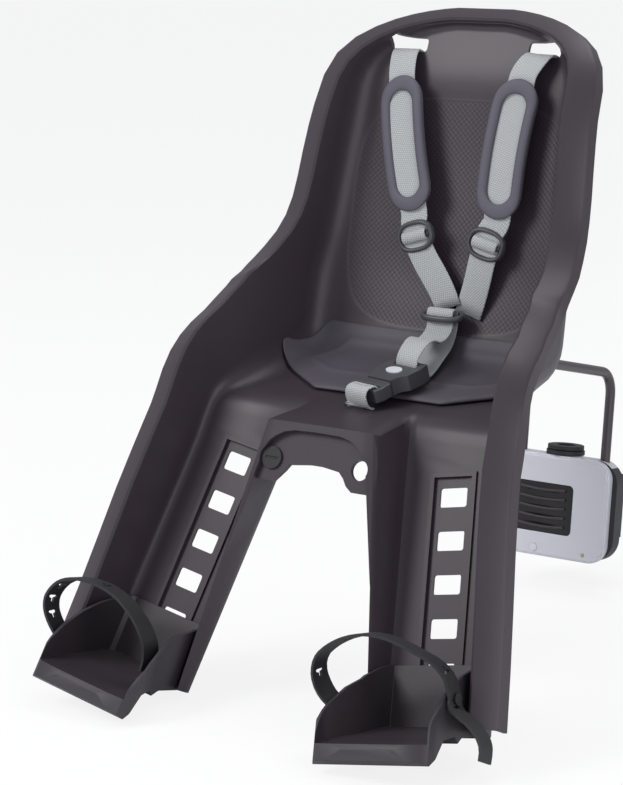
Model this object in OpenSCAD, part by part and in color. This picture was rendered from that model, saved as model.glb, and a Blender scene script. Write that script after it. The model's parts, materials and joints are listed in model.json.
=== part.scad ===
// Child bike seat: a moulded bucket seat with height-adjustable footrests, a harness,
// and a bent-wire carrier that drops into a quick-release block on the frame tube.
// The seat is drawn about the front edge of its pad, with the child looking along -Y,
// and every piece is then moved so that the origin is the centre of the tube clamp.

/* [Shell] */
// Wall thickness of the moulded shell
shell_t = 3.4; // [2.8:0.1:4]
// Half width between the side rims at the shoulders
shoulder_half = 122; // [118:1:128]
// Half width between the side rims at the hips
hip_half = 141; // [138:1:145]
// Half width between the outer rims at the top of the legs
knee_half = 163.5; // [161:0.5:166]
// Height of the straight part of the backrest
back_len = 236.8; // [225:1:248]
// Length of the curled head end above the neck
head_len = 47.2; // [42:1:52]
// Lean of the backrest from upright, in degrees
back_lean = 13.5; // [11:0.5:16]
// Width of the rim flange along the sides
flange_w = 22; // [18:1:24]
// Width of the rim flange over the head end
head_flange_w = 13; // [10:1:15]
// Drop of the rim flange across its width
flange_drop = 8.5; // [6:0.5:10]
// Depth of the return lip behind the rim flange
lip_depth = 16; // [12:1:18]

/* [Legs] */
// Rise of the leg between one footrest stop and the next
pitch = 36.9; // [35:0.1:37.5]
// Number of footrest stops on each leg
stops = 5; // [4:1:5]
// Width of a footrest stop window
window_w = 25; // [21:1:27]
// Height of a footrest stop window
window_h = 16.6; // [13:0.2:18]
// Width of the sunk track that the footrest rides in
track_w = 35; // [32:1:38]
// Depth of the sunk track
track_depth = 1.5; // [1:0.1:1.8]
// Distance of the top window from the middle of the seat
window_x = 110.7; // [109:0.1:112]
// Outward lean of each leg, in degrees
leg_splay = 10.2; // [9.6:0.1:10.8]

/* [Arch] */
// Half width of the arch between the legs, below its round corners
arch_half = 59; // [56:0.5:61]
// Radius of the arch's top corners
arch_r = 30; // [24:1:36]
// Radius of the two round holes in the apron under the arch
apron_hole_r = 8.5; // [7:0.5:9.5]

/* [Footrests] */
// Length of a footrest from the calf panel to its front lip
rest_len = 96; // [90:1:100]
// Height of the footrest's back panel
rest_back_h = 56; // [50:1:60]
// Wall of a footrest
rest_t = 3; // [2.4:0.2:3.6]
// Gap between a footrest and the leg that it slides on
rest_gap = 0.4; // [0.3:0.1:0.8]
// Width of a rubber foot strap
foot_strap_w = 19; // [15:1:22]
// Thickness of a rubber foot strap
foot_strap_t = 2.4; // [2:0.2:3]

/* [Harness] */
// Width of the webbing
web_w = 27; // [24:1:28]
// Thickness of the webbing
web_t = 1.6; // [1.2:0.1:2]
// Thickness of the seat pad
pad_t = 4.6; // [3.6:0.2:6]
// Distance of a shoulder slot from the middle of the seat
slot_x = 69.8; // [64:0.2:74]
// Length of a shoulder slot
slot_len = 35; // [30:1:38]
// Height of a shoulder slot
slot_h = 13.5; // [12:0.5:15]

/* [Carrier wire] */
// Radius of the carrier wire
wire_r = 4.8; // [4.5:0.1:5]
// Distance between the axes of the two legs of the wire
wire_gap = 92.4; // [90:0.2:94]
// Running clearance around the wire in the block, on the radius
wire_fit = 0.08; // [0.05:0.01:0.1]

/* [Mounting block] */
// Half width of the block's silver cover
cover_half = 60; // [58:1:63]
// Height of the block's silver cover
cover_h = 102; // [98:1:106]
// Radius of the frame tube that the clamp holds
tube_r = 17; // [14:0.5:20]
// Length of the clamp along the frame tube
clamp_len = 64; // [56:1:70]
// Radius of a clamp bolt
bolt_r = 3; // [2.5:0.5:4]
// Travel of the release button
button_travel = 3; // [2:0.25:3.5]

/* [Hidden] */
$fn = 48;
// Smallest overlap that makes a cut pass clean through
e = 0.02;

// Headings of the seat's middle line, in degrees up from the child's back direction
calf_heading = 64.6;
pan_heading = 10.6;
back_heading = 90 - back_lean;
head_heading = back_heading - 8.5;
// Radii of the bends between calf and pan, pan and back, back and head
knee_bend_r = 18;
seat_bend_r = 30;
neck_bend_r = 120;
calf_len = 250.4;
pan_len = 99.6;
// Place of the calf line's lower end, as [y, z]
// Where the straight calf ends under the knee, and its foot
knee_at = [-21.995, -16.805];
calf_foot = knee_at - calf_len * heading_dir(calf_heading);

// The middle line, as [length, curvature, heading at the start] for each stretch
knee_arc = knee_bend_r * (calf_heading - pan_heading) * PI / 180;
seat_arc = seat_bend_r * (back_heading - pan_heading) * PI / 180;
neck_arc = neck_bend_r * (back_heading - head_heading) * PI / 180;
SPINE = [
    [calf_len, 0, calf_heading],
    [knee_arc, -1 / knee_bend_r, calf_heading],
    [pan_len, 0, pan_heading],
    [seat_arc, 1 / seat_bend_r, pan_heading],
    [back_len, 0, back_heading],
    [neck_arc, -1 / neck_bend_r, back_heading],
    [head_len, 0, head_heading]
];
// Distances along the middle line are counted from the front of the pan
s_foot = -calf_len - knee_arc;
s_back = pan_len + seat_arc;
s_neck = s_back + back_len;
s_top = s_neck + neck_arc + head_len;

function heading_dir(a) = [cos(a), sin(a)];
function stretch_end(p, seg, d) =
    seg[1] == 0
    ? p + d * heading_dir(seg[2])
    : let (a = seg[2], b = a + seg[1] * d * 180 / PI)
      p + [sin(b) - sin(a), cos(a) - cos(b)] / seg[1];
function walk(p, d, i) =
    (i == len(SPINE) - 1 || d <= SPINE[i][0])
    ? stretch_end(p, SPINE[i], d)
    : walk(stretch_end(p, SPINE[i], SPINE[i][0]), d - SPINE[i][0], i + 1);
function spine(s) = walk(calf_foot, s - s_foot, 0);

// The direction of the side walls turns more gently than the middle line, so that the
// tall walls don't fold over each other in the seat bend
function ramp(s, a, b) = max(0, min(1, (s - a) / (b - a)));
function wall_heading(s) =
    90 + calf_heading
    + (pan_heading - calf_heading) * ramp(s, -30, 13)
    + (back_heading - pan_heading) * ramp(s, 45, 190)
    + (head_heading - back_heading) * ramp(s, s_neck - 10, s_neck + 30);
// A point of the seat: x across, s along the middle line, p out towards the child
function place(x, s, p) =
    let (b = spine(s), n = heading_dir(wall_heading(s)))
    [x, b[0] + p * n[0], b[1] + p * n[1]];

// A smooth curve through rows of [distance, value]
function row_of(tbl, s, i = 0) =
    (i >= len(tbl) - 2 || s < tbl[i + 1][0]) ? i : row_of(tbl, s, i + 1);
function slope_at(tbl, i) =
    let (a = tbl[max(0, i - 1)], b = tbl[min(len(tbl) - 1, i + 1)])
    (b[1] - a[1]) / (b[0] - a[0]);
function smooth(tbl, s) =
    let (
        i = row_of(tbl, s), a = tbl[i], b = tbl[i + 1], h = b[0] - a[0],
        t = max(0, min(1, (s - a[0]) / h)),
        t2 = t * t, t3 = t2 * t
    )
    a[1] * (2 * t3 - 3 * t2 + 1) + b[1] * (3 * t2 - 2 * t3)
    + h * (slope_at(tbl, i) * (t3 - 2 * t2 + t) + slope_at(tbl, i + 1) * (t3 - t2));

splay_rate = tan(leg_splay);
s_knee = -52;
s_leg_end = s_foot - 16;
// A station on the leg, from 0 at its end to 1 at the knee
function leg_at(f) = s_leg_end + f * (s_knee - s_leg_end);
s_shoulder = s_neck - 21;
head_rise = s_top - 13 - s_shoulder;
head_half = shoulder_half - 4;
// Height of the side rims above the middle line
RIM_H = [
    [s_leg_end, 49], [leg_at(0.36), 51], [leg_at(0.533), 53.2], [leg_at(0.684), 55.5],
    [leg_at(0.836), 56.8], [s_knee, 56.8],
    [-26, 55.6], [-9, 61.5], [5, 71], [20, 79.6], [45, 89.5], [78, 98], [100, 104.5], [134, 103.5],
    [152, 96.3], [166, 90.4], [182, 83.5], [198, 73], [214, 62], [230, 54.6], [248, 50.6],
    [268, 49.1], [306, 48.4], [345, 44], [s_neck, 35], [s_neck + 30, 20], [s_top, 4]
];
// Half width between the side rims
RIM_W = [
    [s_leg_end, knee_half + splay_rate * (s_knee - s_leg_end)],
    [leg_at(0.36), knee_half + splay_rate * (s_knee - leg_at(0.36))],
    [leg_at(0.684), knee_half + splay_rate * (s_knee - leg_at(0.684))],
    [s_knee, knee_half], [-26, knee_half - 3.2], [-9, 156.5], [5, hip_half + 11],
    [20, hip_half + 7], [45, hip_half + 3.8], [100, hip_half], [152, hip_half - 1.7],
    [182, hip_half - 3.2], [198, hip_half - 5.4], [214, shoulder_half + 9.6],
    [230, shoulder_half + 6.8], [248, shoulder_half + 4.6], [268, shoulder_half + 3],
    [306, shoulder_half], [s_shoulder, head_half]
];
// Over the seat bend the rim runs straight between two stations, so that it has no dip there
rim_a = 78;
rim_b = 152;
function rim_point(s) = spine(s) + smooth(RIM_H, s) * heading_dir(wall_heading(s));
rim_a_pt = rim_point(rim_a);
rim_b_pt = rim_point(rim_b);
function cross2(a, b) = a[0] * b[1] - a[1] * b[0];
function rim_h(s) =
    (s <= rim_a || s >= rim_b) ? smooth(RIM_H, s)
    : let (d = rim_b_pt - rim_a_pt)
      cross2(rim_a_pt - spine(s), d) / cross2(heading_dir(wall_heading(s)), d);
function rim_w(s) = smooth(RIM_W, s);
// Radius of the round between the wall and the seat's floor
function floor_r(s) = 8 + 18 * ramp(s, -20, 40);

// The rim's outline: straight stations up the sides, then a rounded head
head_power = 2.25;
SIDE_STATIONS = [
    s_leg_end, leg_at(0.144), leg_at(0.339), leg_at(0.533), leg_at(0.728), leg_at(0.879), s_knee, -36, -26, -17, -9, -2, 5, 13,
    27, 42, 60, 80, pan_len, 112, 124, s_back, 150, 166, 182, 198, 214, 230, 248, 268,
    290, 315, 335
];
HEAD_STEPS = [6, 17, 28, 39, 49, 58, 66, 73, 79];
function side_row(s) = [rim_w(s), s, 1, 0];
function head_row(a) =
    let (
        u = pow(cos(a), 2 / head_power), v = pow(sin(a), 2 / head_power),
        g = [pow(u, head_power - 1) / head_half, pow(v, head_power - 1) / head_rise],
        n = g / norm(g)
    )
    [head_half * u, s_shoulder + head_rise * v, n[0], n[1]];
OUTLINE = concat(
    [for (s = SIDE_STATIONS) side_row(s)],
    [for (a = HEAD_STEPS) head_row(a)]
);

// The rim's section, from the return lip to the seat's floor, as [outward, height]
function rim_section(row) =
    let (
        h = rim_h(row[1]), fw = flange_w * row[2] * row[2] + head_flange_w * row[3] * row[3],
        r = min(floor_r(row[1]), 0.6 * h), w = -1.6 - 0.06 * h
    )
    concat(
        [
            [fw + 1.2, h - flange_drop - lip_depth], [fw + 1, h - flange_drop - 2.6],
            [fw - 1.4, h - flange_drop + 0.2], [1.6, h - 0.5], [-0.7, h - 1.7],
            [-1.6, max(h - 4.5, r + 0.2)]
        ],
        [for (a = [0 : 22.5 : 90]) [w - r + r * cos(a), r - r * sin(a)]]
    );
// A copy of an open line moved back by the wall, with its end faces square to the first
// and last wall direction
function unit(v) = v / norm(v);
function front_side(a, b) = let (d = unit(b - a)) [d[1], -d[0]];
function moved_back(line, t, last_n) = [
    for (i = [0 : len(line) - 1])
        let (
            n1 = i == 0 ? front_side(line[0], line[1]) : front_side(line[i - 1], line[i]),
            n2 = i == len(line) - 1 ? last_n : front_side(line[i], line[i + 1]),
            m = (n1 + n2) / max(0.6, 1 + n1 * n2)
        )
        line[i] - t * m
];
// The nose between the legs: its half width and how far it stands above the floor
nose_start = 12;
nose_front = -35.5;
function nose_half(s) =
    s > -30 ? 56 - 5.4 * ramp(s, -30, 0) : 50.6 + 5.4 + splay_rate * (-30 - s);
nose_back_pt = spine(nose_start);
nose_tip_pt = spine(nose_front) + 54.4 * heading_dir(wall_heading(nose_front));
function nose_h(s) =
    s >= nose_start ? 0
    : s <= nose_front ? 54.4 - 0.12 * (nose_front - s)
    : let (b = spine(s), n = heading_dir(wall_heading(s)), d = nose_tip_pt - nose_back_pt)
      cross2(nose_back_pt - b, d) / cross2(n, d);
// Half of the floor line, from the foot of the side wall to the middle, as [x, height]
function half_floor(s, x_foot) =
    let (
        h = nose_h(s), w = nose_half(s), f = min(1, h / 18),
        dish = 5 * ramp(s, s_back, s_back + 60) * (1 - ramp(s, 300, s_neck))
    )
    [
        [x_foot, 0], [max(w + 9, 0.72 * x_foot), -0.5 * dish], [w + 8, f == 0 ? -0.8 * dish : 0],
        [w + 2.4, f == 0 ? -0.85 * dish : 2.4 * f], [w, f == 0 ? -0.86 * dish : 9 * f],
        [w - 0.8, f == 0 ? -0.87 * dish : h - 8 * f], [w - 4.2, f == 0 ? -0.9 * dish : h - 2.7 * f],
        [w - 12, f == 0 ? -0.93 * dish : h - 0.2 * f], [0, h - dish]
    ];
K = 10;
M = 15;
J = 2 * K + M + 1;
function skin_row(row, back) =
    let (
        sec = rim_section(row),
        use = back ? moved_back(sec, shell_t, [0, 1]) : sec,
        right = [for (q = use) [row[0] + row[2] * q[0], row[1] + row[3] * q[0], q[1]]],
        foot = row[0] + row[2] * sec[K][0],
        line = half_floor(row[1], foot),
        mid = back ? moved_back(line, shell_t, [0, 1]) : line,
        half = [for (k = [1 : 8]) [mid[k][0] * min(1, foot / 75), right[K][1], mid[k][1]]]
    )
    concat(
        right, half,
        [for (k = [6 : -1 : 0]) [-half[k][0], half[k][1], half[k][2]]],
        [for (k = [K : -1 : 0]) [-right[k][0], right[k][1], right[k][2]]]
    );
T = len(OUTLINE) - 1;
function skin(back) =
    let (
        rows = [for (row = OUTLINE) skin_row(row, back)],
        top = rows[T]
    )
    [
        for (row = rows) for (v = row) place(v[0], v[1], v[2]),
        for (k = [K - 1 : -1 : 0]) for (m = [1 : M])
            place(top[k][0] * top[K + m][0] / top[K][0], top[k][1], top[k][2])
    ];
NV = (T + 1) * (J + 1) + K * M;
function grid(i, j) = i * (J + 1) + j;
// The lines that close the head end, from the floor row out to the lip
function head_line(k) =
    k == K
    ? [for (j = [K : J - K]) grid(T, j)]
    : concat([grid(T, k)], [for (m = [0 : M - 1]) (T + 1) * (J + 1) + (K - 1 - k) * M + m],
        [grid(T, J - k)]);
function two(a, b, c, d) = [[a, b, c], [a, c, d]];
FRONT_FACES = concat(
    [for (i = [0 : T - 1]) for (j = [0 : J - 1])
        for (f = two(grid(i, j), grid(i, j + 1), grid(i + 1, j + 1), grid(i + 1, j))) f],
    [for (k = [K : -1 : 1]) let (a = head_line(k), b = head_line(k - 1))
        for (m = [0 : M]) for (f = two(a[m], a[m + 1], b[m + 1], b[m])) f]
);
SKIN_EDGE = concat(
    [for (j = [0 : J]) grid(0, j)],
    [for (i = [1 : T]) grid(i, J)],
    [for (m = [M : -1 : 1]) head_line(0)[m]],
    [for (i = [T : -1 : 1]) grid(i, 0)]
);
module trough() {
    n = len(SKIN_EDGE);
    polyhedron(
        points = concat(skin(false), skin(true)),
        faces = concat(
            FRONT_FACES,
            [for (f = FRONT_FACES) [f[2] + NV, f[1] + NV, f[0] + NV]],
            [for (i = [0 : n - 1]) let (a = SKIN_EDGE[i], b = SKIN_EDGE[(i + 1) % n])
                for (f = two(b, a, a + NV, b + NV)) f]
        )
    );
}

// The leg frame: x across the leg, y into the calf panel, z up the leg, from the middle
// of the top footrest window
leg_s = -69.45;
leg_base = [window_x, spine(leg_s)[0], spine(leg_s)[1]];
module on_leg(side) {
    mirror([side < 0 ? 1 : 0, 0, 0])
        translate(leg_base)
            rotate([calf_heading - 90, 0, 0])
                rotate([0, -leg_splay, 0]) children();
}
// The pan frame at a distance along the middle line: y back, z out of the pan
module on_pan(s) {
    translate([0, spine(s)[0], spine(s)[1]]) rotate([pan_heading, 0, 0]) children();
}
// The back frame at a distance along the middle line: z up the back, -y to the child
module on_back(s, heading) {
    translate([0, spine(s)[0], spine(s)[1]]) rotate([heading - 90, 0, 0]) children();
}
track_foot = s_foot - leg_s - 3.085;
track_head = 17;
rib_w = 4;
rib_h = 2;
module track_ribs() {
    for (k = [-1, 1])
        translate([k * (track_w + rib_w) / 2 - rib_w / 2, -rib_h, track_foot])
            cube([rib_w, rib_h + 1, track_head - track_foot + rib_w]);
    translate([-track_w / 2 - rib_w, -rib_h, track_head]) cube([track_w + 2 * rib_w, rib_h + 1, rib_w]);
}
module track_cuts() {
    translate([-track_w / 2, -1, track_foot])
        cube([track_w, 1 + track_depth, track_head - track_foot]);
    for (i = [0 : stops - 1]) translate([0, 8, -pitch * i]) rotate([90, 0, 0])
        linear_extrude(16) hull() {
            for (kx = [-1, 1]) for (kz = [-1, 1])
                translate([kx * (window_w / 2 - 2), kz * (window_h / 2 - 2)]) circle(2, $fn = 12);
        }
}
// The front plane of the arch, and the plane of the apron behind it
front_lean = atan(0.336);
module on_front() {
    translate([0, -90, -43]) rotate([-front_lean, 0, 0]) children();
}
apron_back = 6;
apron_t = 4;
// The arch's opening, drawn in the frame of the calf panels
function nose_edge(s) = nose_half(s) - 11 + 7 * ramp(-s, 56, 160);
arch_top = -42.1;
module arch_opening() {
    half = [
        [0, arch_top], [arch_half - 36, arch_top - 0.5], [arch_half - 26, arch_top - 2.8],
        [arch_half - 18.5, arch_top - 6.8], [arch_half - 13, arch_top - 11],
        [nose_edge(-60), -60], [nose_edge(-80), -80], [nose_edge(-160), -160],
        [nose_edge(s_leg_end - 10), s_leg_end - 10]
    ];
    b = calf_foot - s_foot * heading_dir(calf_heading);
    translate([0, b[0], b[1]]) rotate([calf_heading - 90, 0, 0]) rotate([90, 0, 0])
        translate([0, 0, 14]) linear_extrude(60)
            polygon(concat(half, [for (i = [len(half) - 1 : -1 : 1]) [-half[i][0], half[i][1]]]));
}
saddle_s = [50, 88];
boss_x = 62;
boss_len = 10;
// Depth of the wire's axis under the child-side face of the pan
wire_drop = shell_t + wire_r + 0.8;
slot_s = s_neck + 28.095;
// The crotch strap's slot on top of the nose
crotch_y = -14;
nose_slope = (nose_back_pt[1] - nose_tip_pt[1]) / (nose_back_pt[0] - nose_tip_pt[0]);
crotch_z = nose_back_pt[1] + (crotch_y - nose_back_pt[0]) * nose_slope;
module on_nose() {
    translate([0, crotch_y, crotch_z]) rotate([atan(nose_slope), 0, 0]) children();
}
module seat_shell() {
    color("#3a343b") difference() {
        union() {
            difference() {
                trough();
                arch_opening();
            }
            for (side = [-1, 1]) on_leg(side) track_ribs();
            // apron under the arch
            on_front() translate([0, apron_back, 0]) rotate([90, 0, 0]) translate([0, 0, -apron_t])
                linear_extrude(apron_t) polygon([
                    [-63, -17.3], [-39, -17.3], [-30, -7.4], [-26, -1.9], [-6, 0.5], [6, 0.5],
                    [24, -1.9], [29, -6.6], [33, -12.7], [39, -17.1], [63, -17.1], [60.5, 6],
                    [57, 22], [52, 31], [-52, 31], [-57, 22], [-60.5, 6]
                ]);
            // screw bosses under the pan
            for (s = saddle_s) for (k = [-1, 1])
                on_pan(s) translate([k * boss_x, 0, -shell_t - boss_len])
                    cylinder(r = 5.5, h = boss_len + 1, $fn = 20);
        }
        for (side = [-1, 1]) on_leg(side) track_cuts();
        // apron holes
        on_front() for (k = [-1, 1]) translate([k * 44, 0, 2]) rotate([-90, 0, 0])
            cylinder(r = apron_hole_r, h = 20, $fn = 32);
        on_front() for (k = [-1, 1]) translate([k * 44, apron_back - 8, 2]) rotate([-90, 0, 0])
            cylinder(r = apron_hole_r + 1.9, h = 8, $fn = 32);
        // shoulder slots
        for (k = [-1, 1]) on_back(slot_s, head_heading)
            translate([k * slot_x, -12, 0]) flat_plate(slot_len, slot_h, 4, 24);
        // crotch strap slot
        on_nose() translate([-web_w / 2 - 2, -3, -15]) cube([web_w + 4, 6, 30]);
        // screw holes in the bosses
        for (s = saddle_s) for (k = [-1, 1])
            on_pan(s) translate([k * boss_x, 0, -shell_t - boss_len - 1])
                cylinder(r = screw_r + 0.1, h = boss_len, $fn = 16);
        // square lower ends of the legs
        for (side = [-1, 1]) on_leg(side) translate([-150, -150, track_foot - 89]) cube([300, 300, 90]);
    }
}
screw_r = 2.2;

// A flat band along a path of [centre, width direction]
function path_dir(p, i) =
    unit(p[min(len(p) - 1, i + 1)][0] - p[max(0, i - 1)][0]);
function band_corners(p, i, w, t) =
    let (
        d = path_dir(p, i), u0 = p[i][1], u = unit(u0 - (u0 * d) * d), n = cross(u, d),
        a = u * w / 2, b = n * t / 2, c = p[i][0]
    )
    [c - a - b, c + a - b, c + a + b, c - a + b];
module band(p, w, t) {
    n = len(p);
    polyhedron(
        points = [for (i = [0 : n - 1]) for (q = band_corners(p, i, w, t)) q],
        faces = concat(
            [[3, 2, 1], [3, 1, 0]],
            [for (i = [0 : n - 2]) for (k = [0 : 3])
                let (a = 4 * i + k, b = 4 * i + (k + 1) % 4)
                for (f = two(a, b, b + 4, a + 4)) f],
            [[4 * n - 4, 4 * n - 3, 4 * n - 2], [4 * n - 4, 4 * n - 2, 4 * n - 1]]
        )
    );
}
// Rounds the corners of a path of [centre, width direction] by cutting them twice
function cut_once(p) = concat(
    [p[0]],
    [for (i = [0 : len(p) - 2]) for (f = i == 0 ? [0.7] : i == len(p) - 2 ? [0.3] : [0.27, 0.73])
        [p[i][0] * (1 - f) + p[i + 1][0] * f, p[i][1] * (1 - f) + p[i + 1][1] * f]],
    [p[len(p) - 1]]
);
function rounded_path(p) = cut_once(cut_once(p));
module flat_plate(w, h, r, t) {
    translate([0, t, 0]) rotate([90, 0, 0]) linear_extrude(t) {
        square([w - 2 * r, h], center = true);
        square([w, h - 2 * r], center = true);
        for (kx = [-1, 1]) for (kz = [-1, 1])
            translate([kx * (w / 2 - r), kz * (h / 2 - r)]) circle(r, $fn = 24);
    }
}

// The seat pad follows the pan and curls up at its side tips
function wall_foot(s) =
    let (h = rim_h(s), r = min(floor_r(s), 0.6 * h)) rim_w(s) - 1.6 - 0.06 * h - r;
function floor_height(x, s) =
    let (r = min(floor_r(s), 0.6 * rim_h(s)), over = abs(x) - wall_foot(s))
    over <= 0 ? 0 : r - sqrt(max(0, r * r - over * over));
PAD_ROWS = [
    [9.4, 62], [11.5, 67], [24, 85], [38, 105], [50, 121], [58, 130], [64, 133.5],
    [72, 133], [84, 129.5], [94, 126.5], [104, 123], [112, 119.5], [117, 115], [119, 108]
];
pad_gap = 0.4;
PAD_X = [-1, -0.94, -0.86, -0.76, -0.6, -0.3, 0, 0.3, 0.6, 0.76, 0.86, 0.94, 1];
module seat_pad() {
    n = len(PAD_ROWS);
    m = len(PAD_X);
    function pad_pt(row, f, up) =
        let (x = f * row[1], q = floor_height(x, row[0]) + pad_gap + 0.9 * ramp(row[0], 96, 104)
                + 0.08 * max(0, abs(x) - wall_foot(row[0])) + up) place(x, row[0], q);
    top = [for (row = PAD_ROWS) for (f = PAD_X) pad_pt(row, f, abs(f) > 0.99 ? pad_t - 1.2 : pad_t)];
    low = [for (row = PAD_ROWS) for (f = PAD_X) pad_pt(row, f, 0)];
    rim = concat(
        [for (j = [0 : m - 1]) j], [for (i = [1 : n - 1]) i * m + m - 1],
        [for (j = [m - 2 : -1 : 0]) (n - 1) * m + j], [for (i = [n - 2 : -1 : 1]) i * m]
    );
    q = len(rim);
    up = [for (i = [0 : n - 2]) for (j = [0 : m - 2])
        for (f = two(i * m + j, (i + 1) * m + j, (i + 1) * m + j + 1, i * m + j + 1)) f];
    color("#4d4a58") polyhedron(
        points = concat(top, low),
        faces = concat(
            up, [for (f = up) [f[2] + n * m, f[1] + n * m, f[0] + n * m]],
            [for (i = [0 : q - 1]) let (a = rim[i], b = rim[(i + 1) % q])
                for (f = two(a, b, b + n * m, a + n * m)) f]
        )
    );
}
module apron_cap() {
    color("#2b292e") on_front() translate([-44, apron_back, 2]) rotate([-90, 0, 0]) difference() {
        union() {
            translate([0, 0, -2.3]) cylinder(r = apron_hole_r + 1.4, h = 2, $fn = 32);
            translate([0, 0, -0.4]) cylinder(r = apron_hole_r - 0.3, h = 6, $fn = 32);
        }
        translate([-6, -0.8, -2.4]) cube([12, 1.6, 1]);
    }
}

// Shoulder pads: each a long round-ended cushion with a window that shows the webbing
pad_len = 126;
shoulder_pad_w = 45;
shoulder_pad_t = 8;
pad_window = 24;
web_lift = 3.6;
// The pads bow sideways by this much at their middle
pad_bow = -4.3;
function bow(z) = pad_bow * (1 - pow(min(1, abs(2 * z) / pad_len), 2));
PAD_TOP = [[-65.8, 154, 268], [59.6, 154, 268]];
PAD_LOW = [[-32.3, 124, 141.5], [52.5, 124.6, 142.5]];
// A frame whose z runs from one point to another and whose -y faces the child
module along(a, b) {
    z = unit(b - a);
    x = unit(cross([0, 1, 0], z));
    y = cross(z, x);
    m = (a + b) / 2;
    multmatrix([
        [x[0], y[0], z[0], m[0]], [x[1], y[1], z[1], m[1]], [x[2], y[2], z[2], m[2]], [0, 0, 0, 1]
    ]) children();
}
// A bowed plate, facing -y; r is the radius of its ends
module bowed_plate(w, l, r, t) {
    h = l / 2 - r;
    right = concat(
        [for (k = [0 : 6]) [w / 2, h * (k / 3 - 1)]],
        [for (g = [15 : 15 : 75]) [w / 2 - r + r * cos(g), h + r * sin(g)]]
    );
    upper = concat(right, [for (k = [len(right) - 1 : -1 : 0]) [-right[k][0], right[k][1]]]);
    lower = concat(
        [for (g = [75 : -15 : 15]) [-w / 2 + r - r * cos(g), -h - r * sin(g)]],
        [for (g = [15 : 15 : 75]) [w / 2 - r + r * cos(g), -h - r * sin(g)]]
    );
    low = [for (k = [4 : -1 : 0]) lower[k]];
    translate([0, t, 0]) rotate([90, 0, 0]) linear_extrude(t)
        polygon([for (q = concat(upper, low, [for (k = [9 : -1 : 5]) lower[k]]))
            [q[0] + bow(q[1]), q[1]]]);
}
module shoulder_pad(i) {
    color("#5a5668") along(PAD_LOW[i], PAD_TOP[i]) translate([0, -shoulder_pad_t + web_lift, 0])
        difference() {
            union() {
                bowed_plate(shoulder_pad_w - 3, pad_len - 3, shoulder_pad_w / 2 - 1.5, 2);
                translate([0, 1.2, 0])
                    bowed_plate(shoulder_pad_w, pad_len, shoulder_pad_w / 2, shoulder_pad_t - 1.2);
            }
            translate([0, -1, 0])
                bowed_plate(pad_window, pad_len - 26, pad_window / 2, shoulder_pad_t - 2.4 + 1);
            translate([0, shoulder_pad_t - web_lift - web_t / 2 - 1.4, 0])
                bowed_plate(web_w + 3, pad_len + 6, 1, web_t + 2.8);
        }
}
module shoulder_pad_left() { shoulder_pad(0); }
module shoulder_pad_right() { shoulder_pad(1); }

// Shoulder straps: from a keeper behind the slot, down through the pad to the buckle's tie
ADJUST = [[-28.6, 120.6, 124], [44, 121, 122]];
ADJUST_UP = [unit([-0.3, 0.06, 1]), unit([0.25, 0.1, 1])];
lower_at = [10.4, 104, 55];
function back_pt(v) =
    let (c = cos(head_heading - 90), d = sin(head_heading - 90), b = spine(slot_s))
    [v[0], b[0] + v[1] * c - v[2] * d, b[1] + v[1] * d + v[2] * c];
strap_low = -slot_h / 2 + web_t / 2 + 0.9;
function strap_path(i) =
    let (k = i == 0 ? -1 : 1, x = [1, 0, 0], a = PAD_LOW[i], b = PAD_TOP[i], d = unit(b - a))
    rounded_path(concat(
        [
            [place(k * slot_x, slot_s - 33, -shell_t - 7), x],
            [place(k * slot_x, slot_s - 16, -shell_t - 7), x],
            [back_pt([k * slot_x, shell_t + 5, strap_low - 2]), x],
            [back_pt([k * slot_x, 1, strap_low]), x],
            [back_pt([k * slot_x * 0.995, -9, strap_low - 2]), x]
        ],
        [for (f = [0.56, 0.45, 0.22, 0, -0.22, -0.45, -0.53]) let (z = f * pad_len)
            [(a + b) / 2 + d * z + [bow(z), f > 0.5 ? 1 : 0, 0], x]],
        [
            [ADJUST[i] + 12 * ADJUST_UP[i], x], [ADJUST[i] - 12 * ADJUST_UP[i], x],
            i == 0 ? [[2, 115, 80], x] : [[36, 117.4, 82], x],
            i == 0 ? [[9.4, 115, 62.4], x] : [[28.5, 116.8, 58], x]
        ]
    ));
module shoulder_strap_left() { color("#b3b6ba") band(strap_path(0), web_w, web_t); }
module shoulder_strap_right() { color("#b3b6ba") band(strap_path(1), web_w, web_t); }
// A point behind the shell's middle: p is the distance under its child-side face
function behind(s, p) = let (q = place(0, s, -p)) [q[1], q[2]];
module strap_keeper(k) {
    run = [for (i = [0 : 4]) slot_s - 38 + 5 * i];
    last = [for (i = [4 : -1 : 0]) run[i]];
    color("#2b292e") translate([k * slot_x, 0, 0]) rotate([90, 0, 90]) difference() {
        linear_extrude(slot_len + 6, center = true) polygon(concat(
            [for (s = run) behind(s, shell_t + 0.8)], [for (s = last) behind(s, shell_t + 13)]
        ));
        linear_extrude(web_w + 2, center = true) polygon(concat(
            [for (s = run) behind(s + 3, shell_t + 5)], [for (s = last) behind(s + 3, shell_t + 9)]
        ));
    }
}
module strap_keeper_left() { strap_keeper(-1); }
module strap_keeper_right() { strap_keeper(1); }

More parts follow.
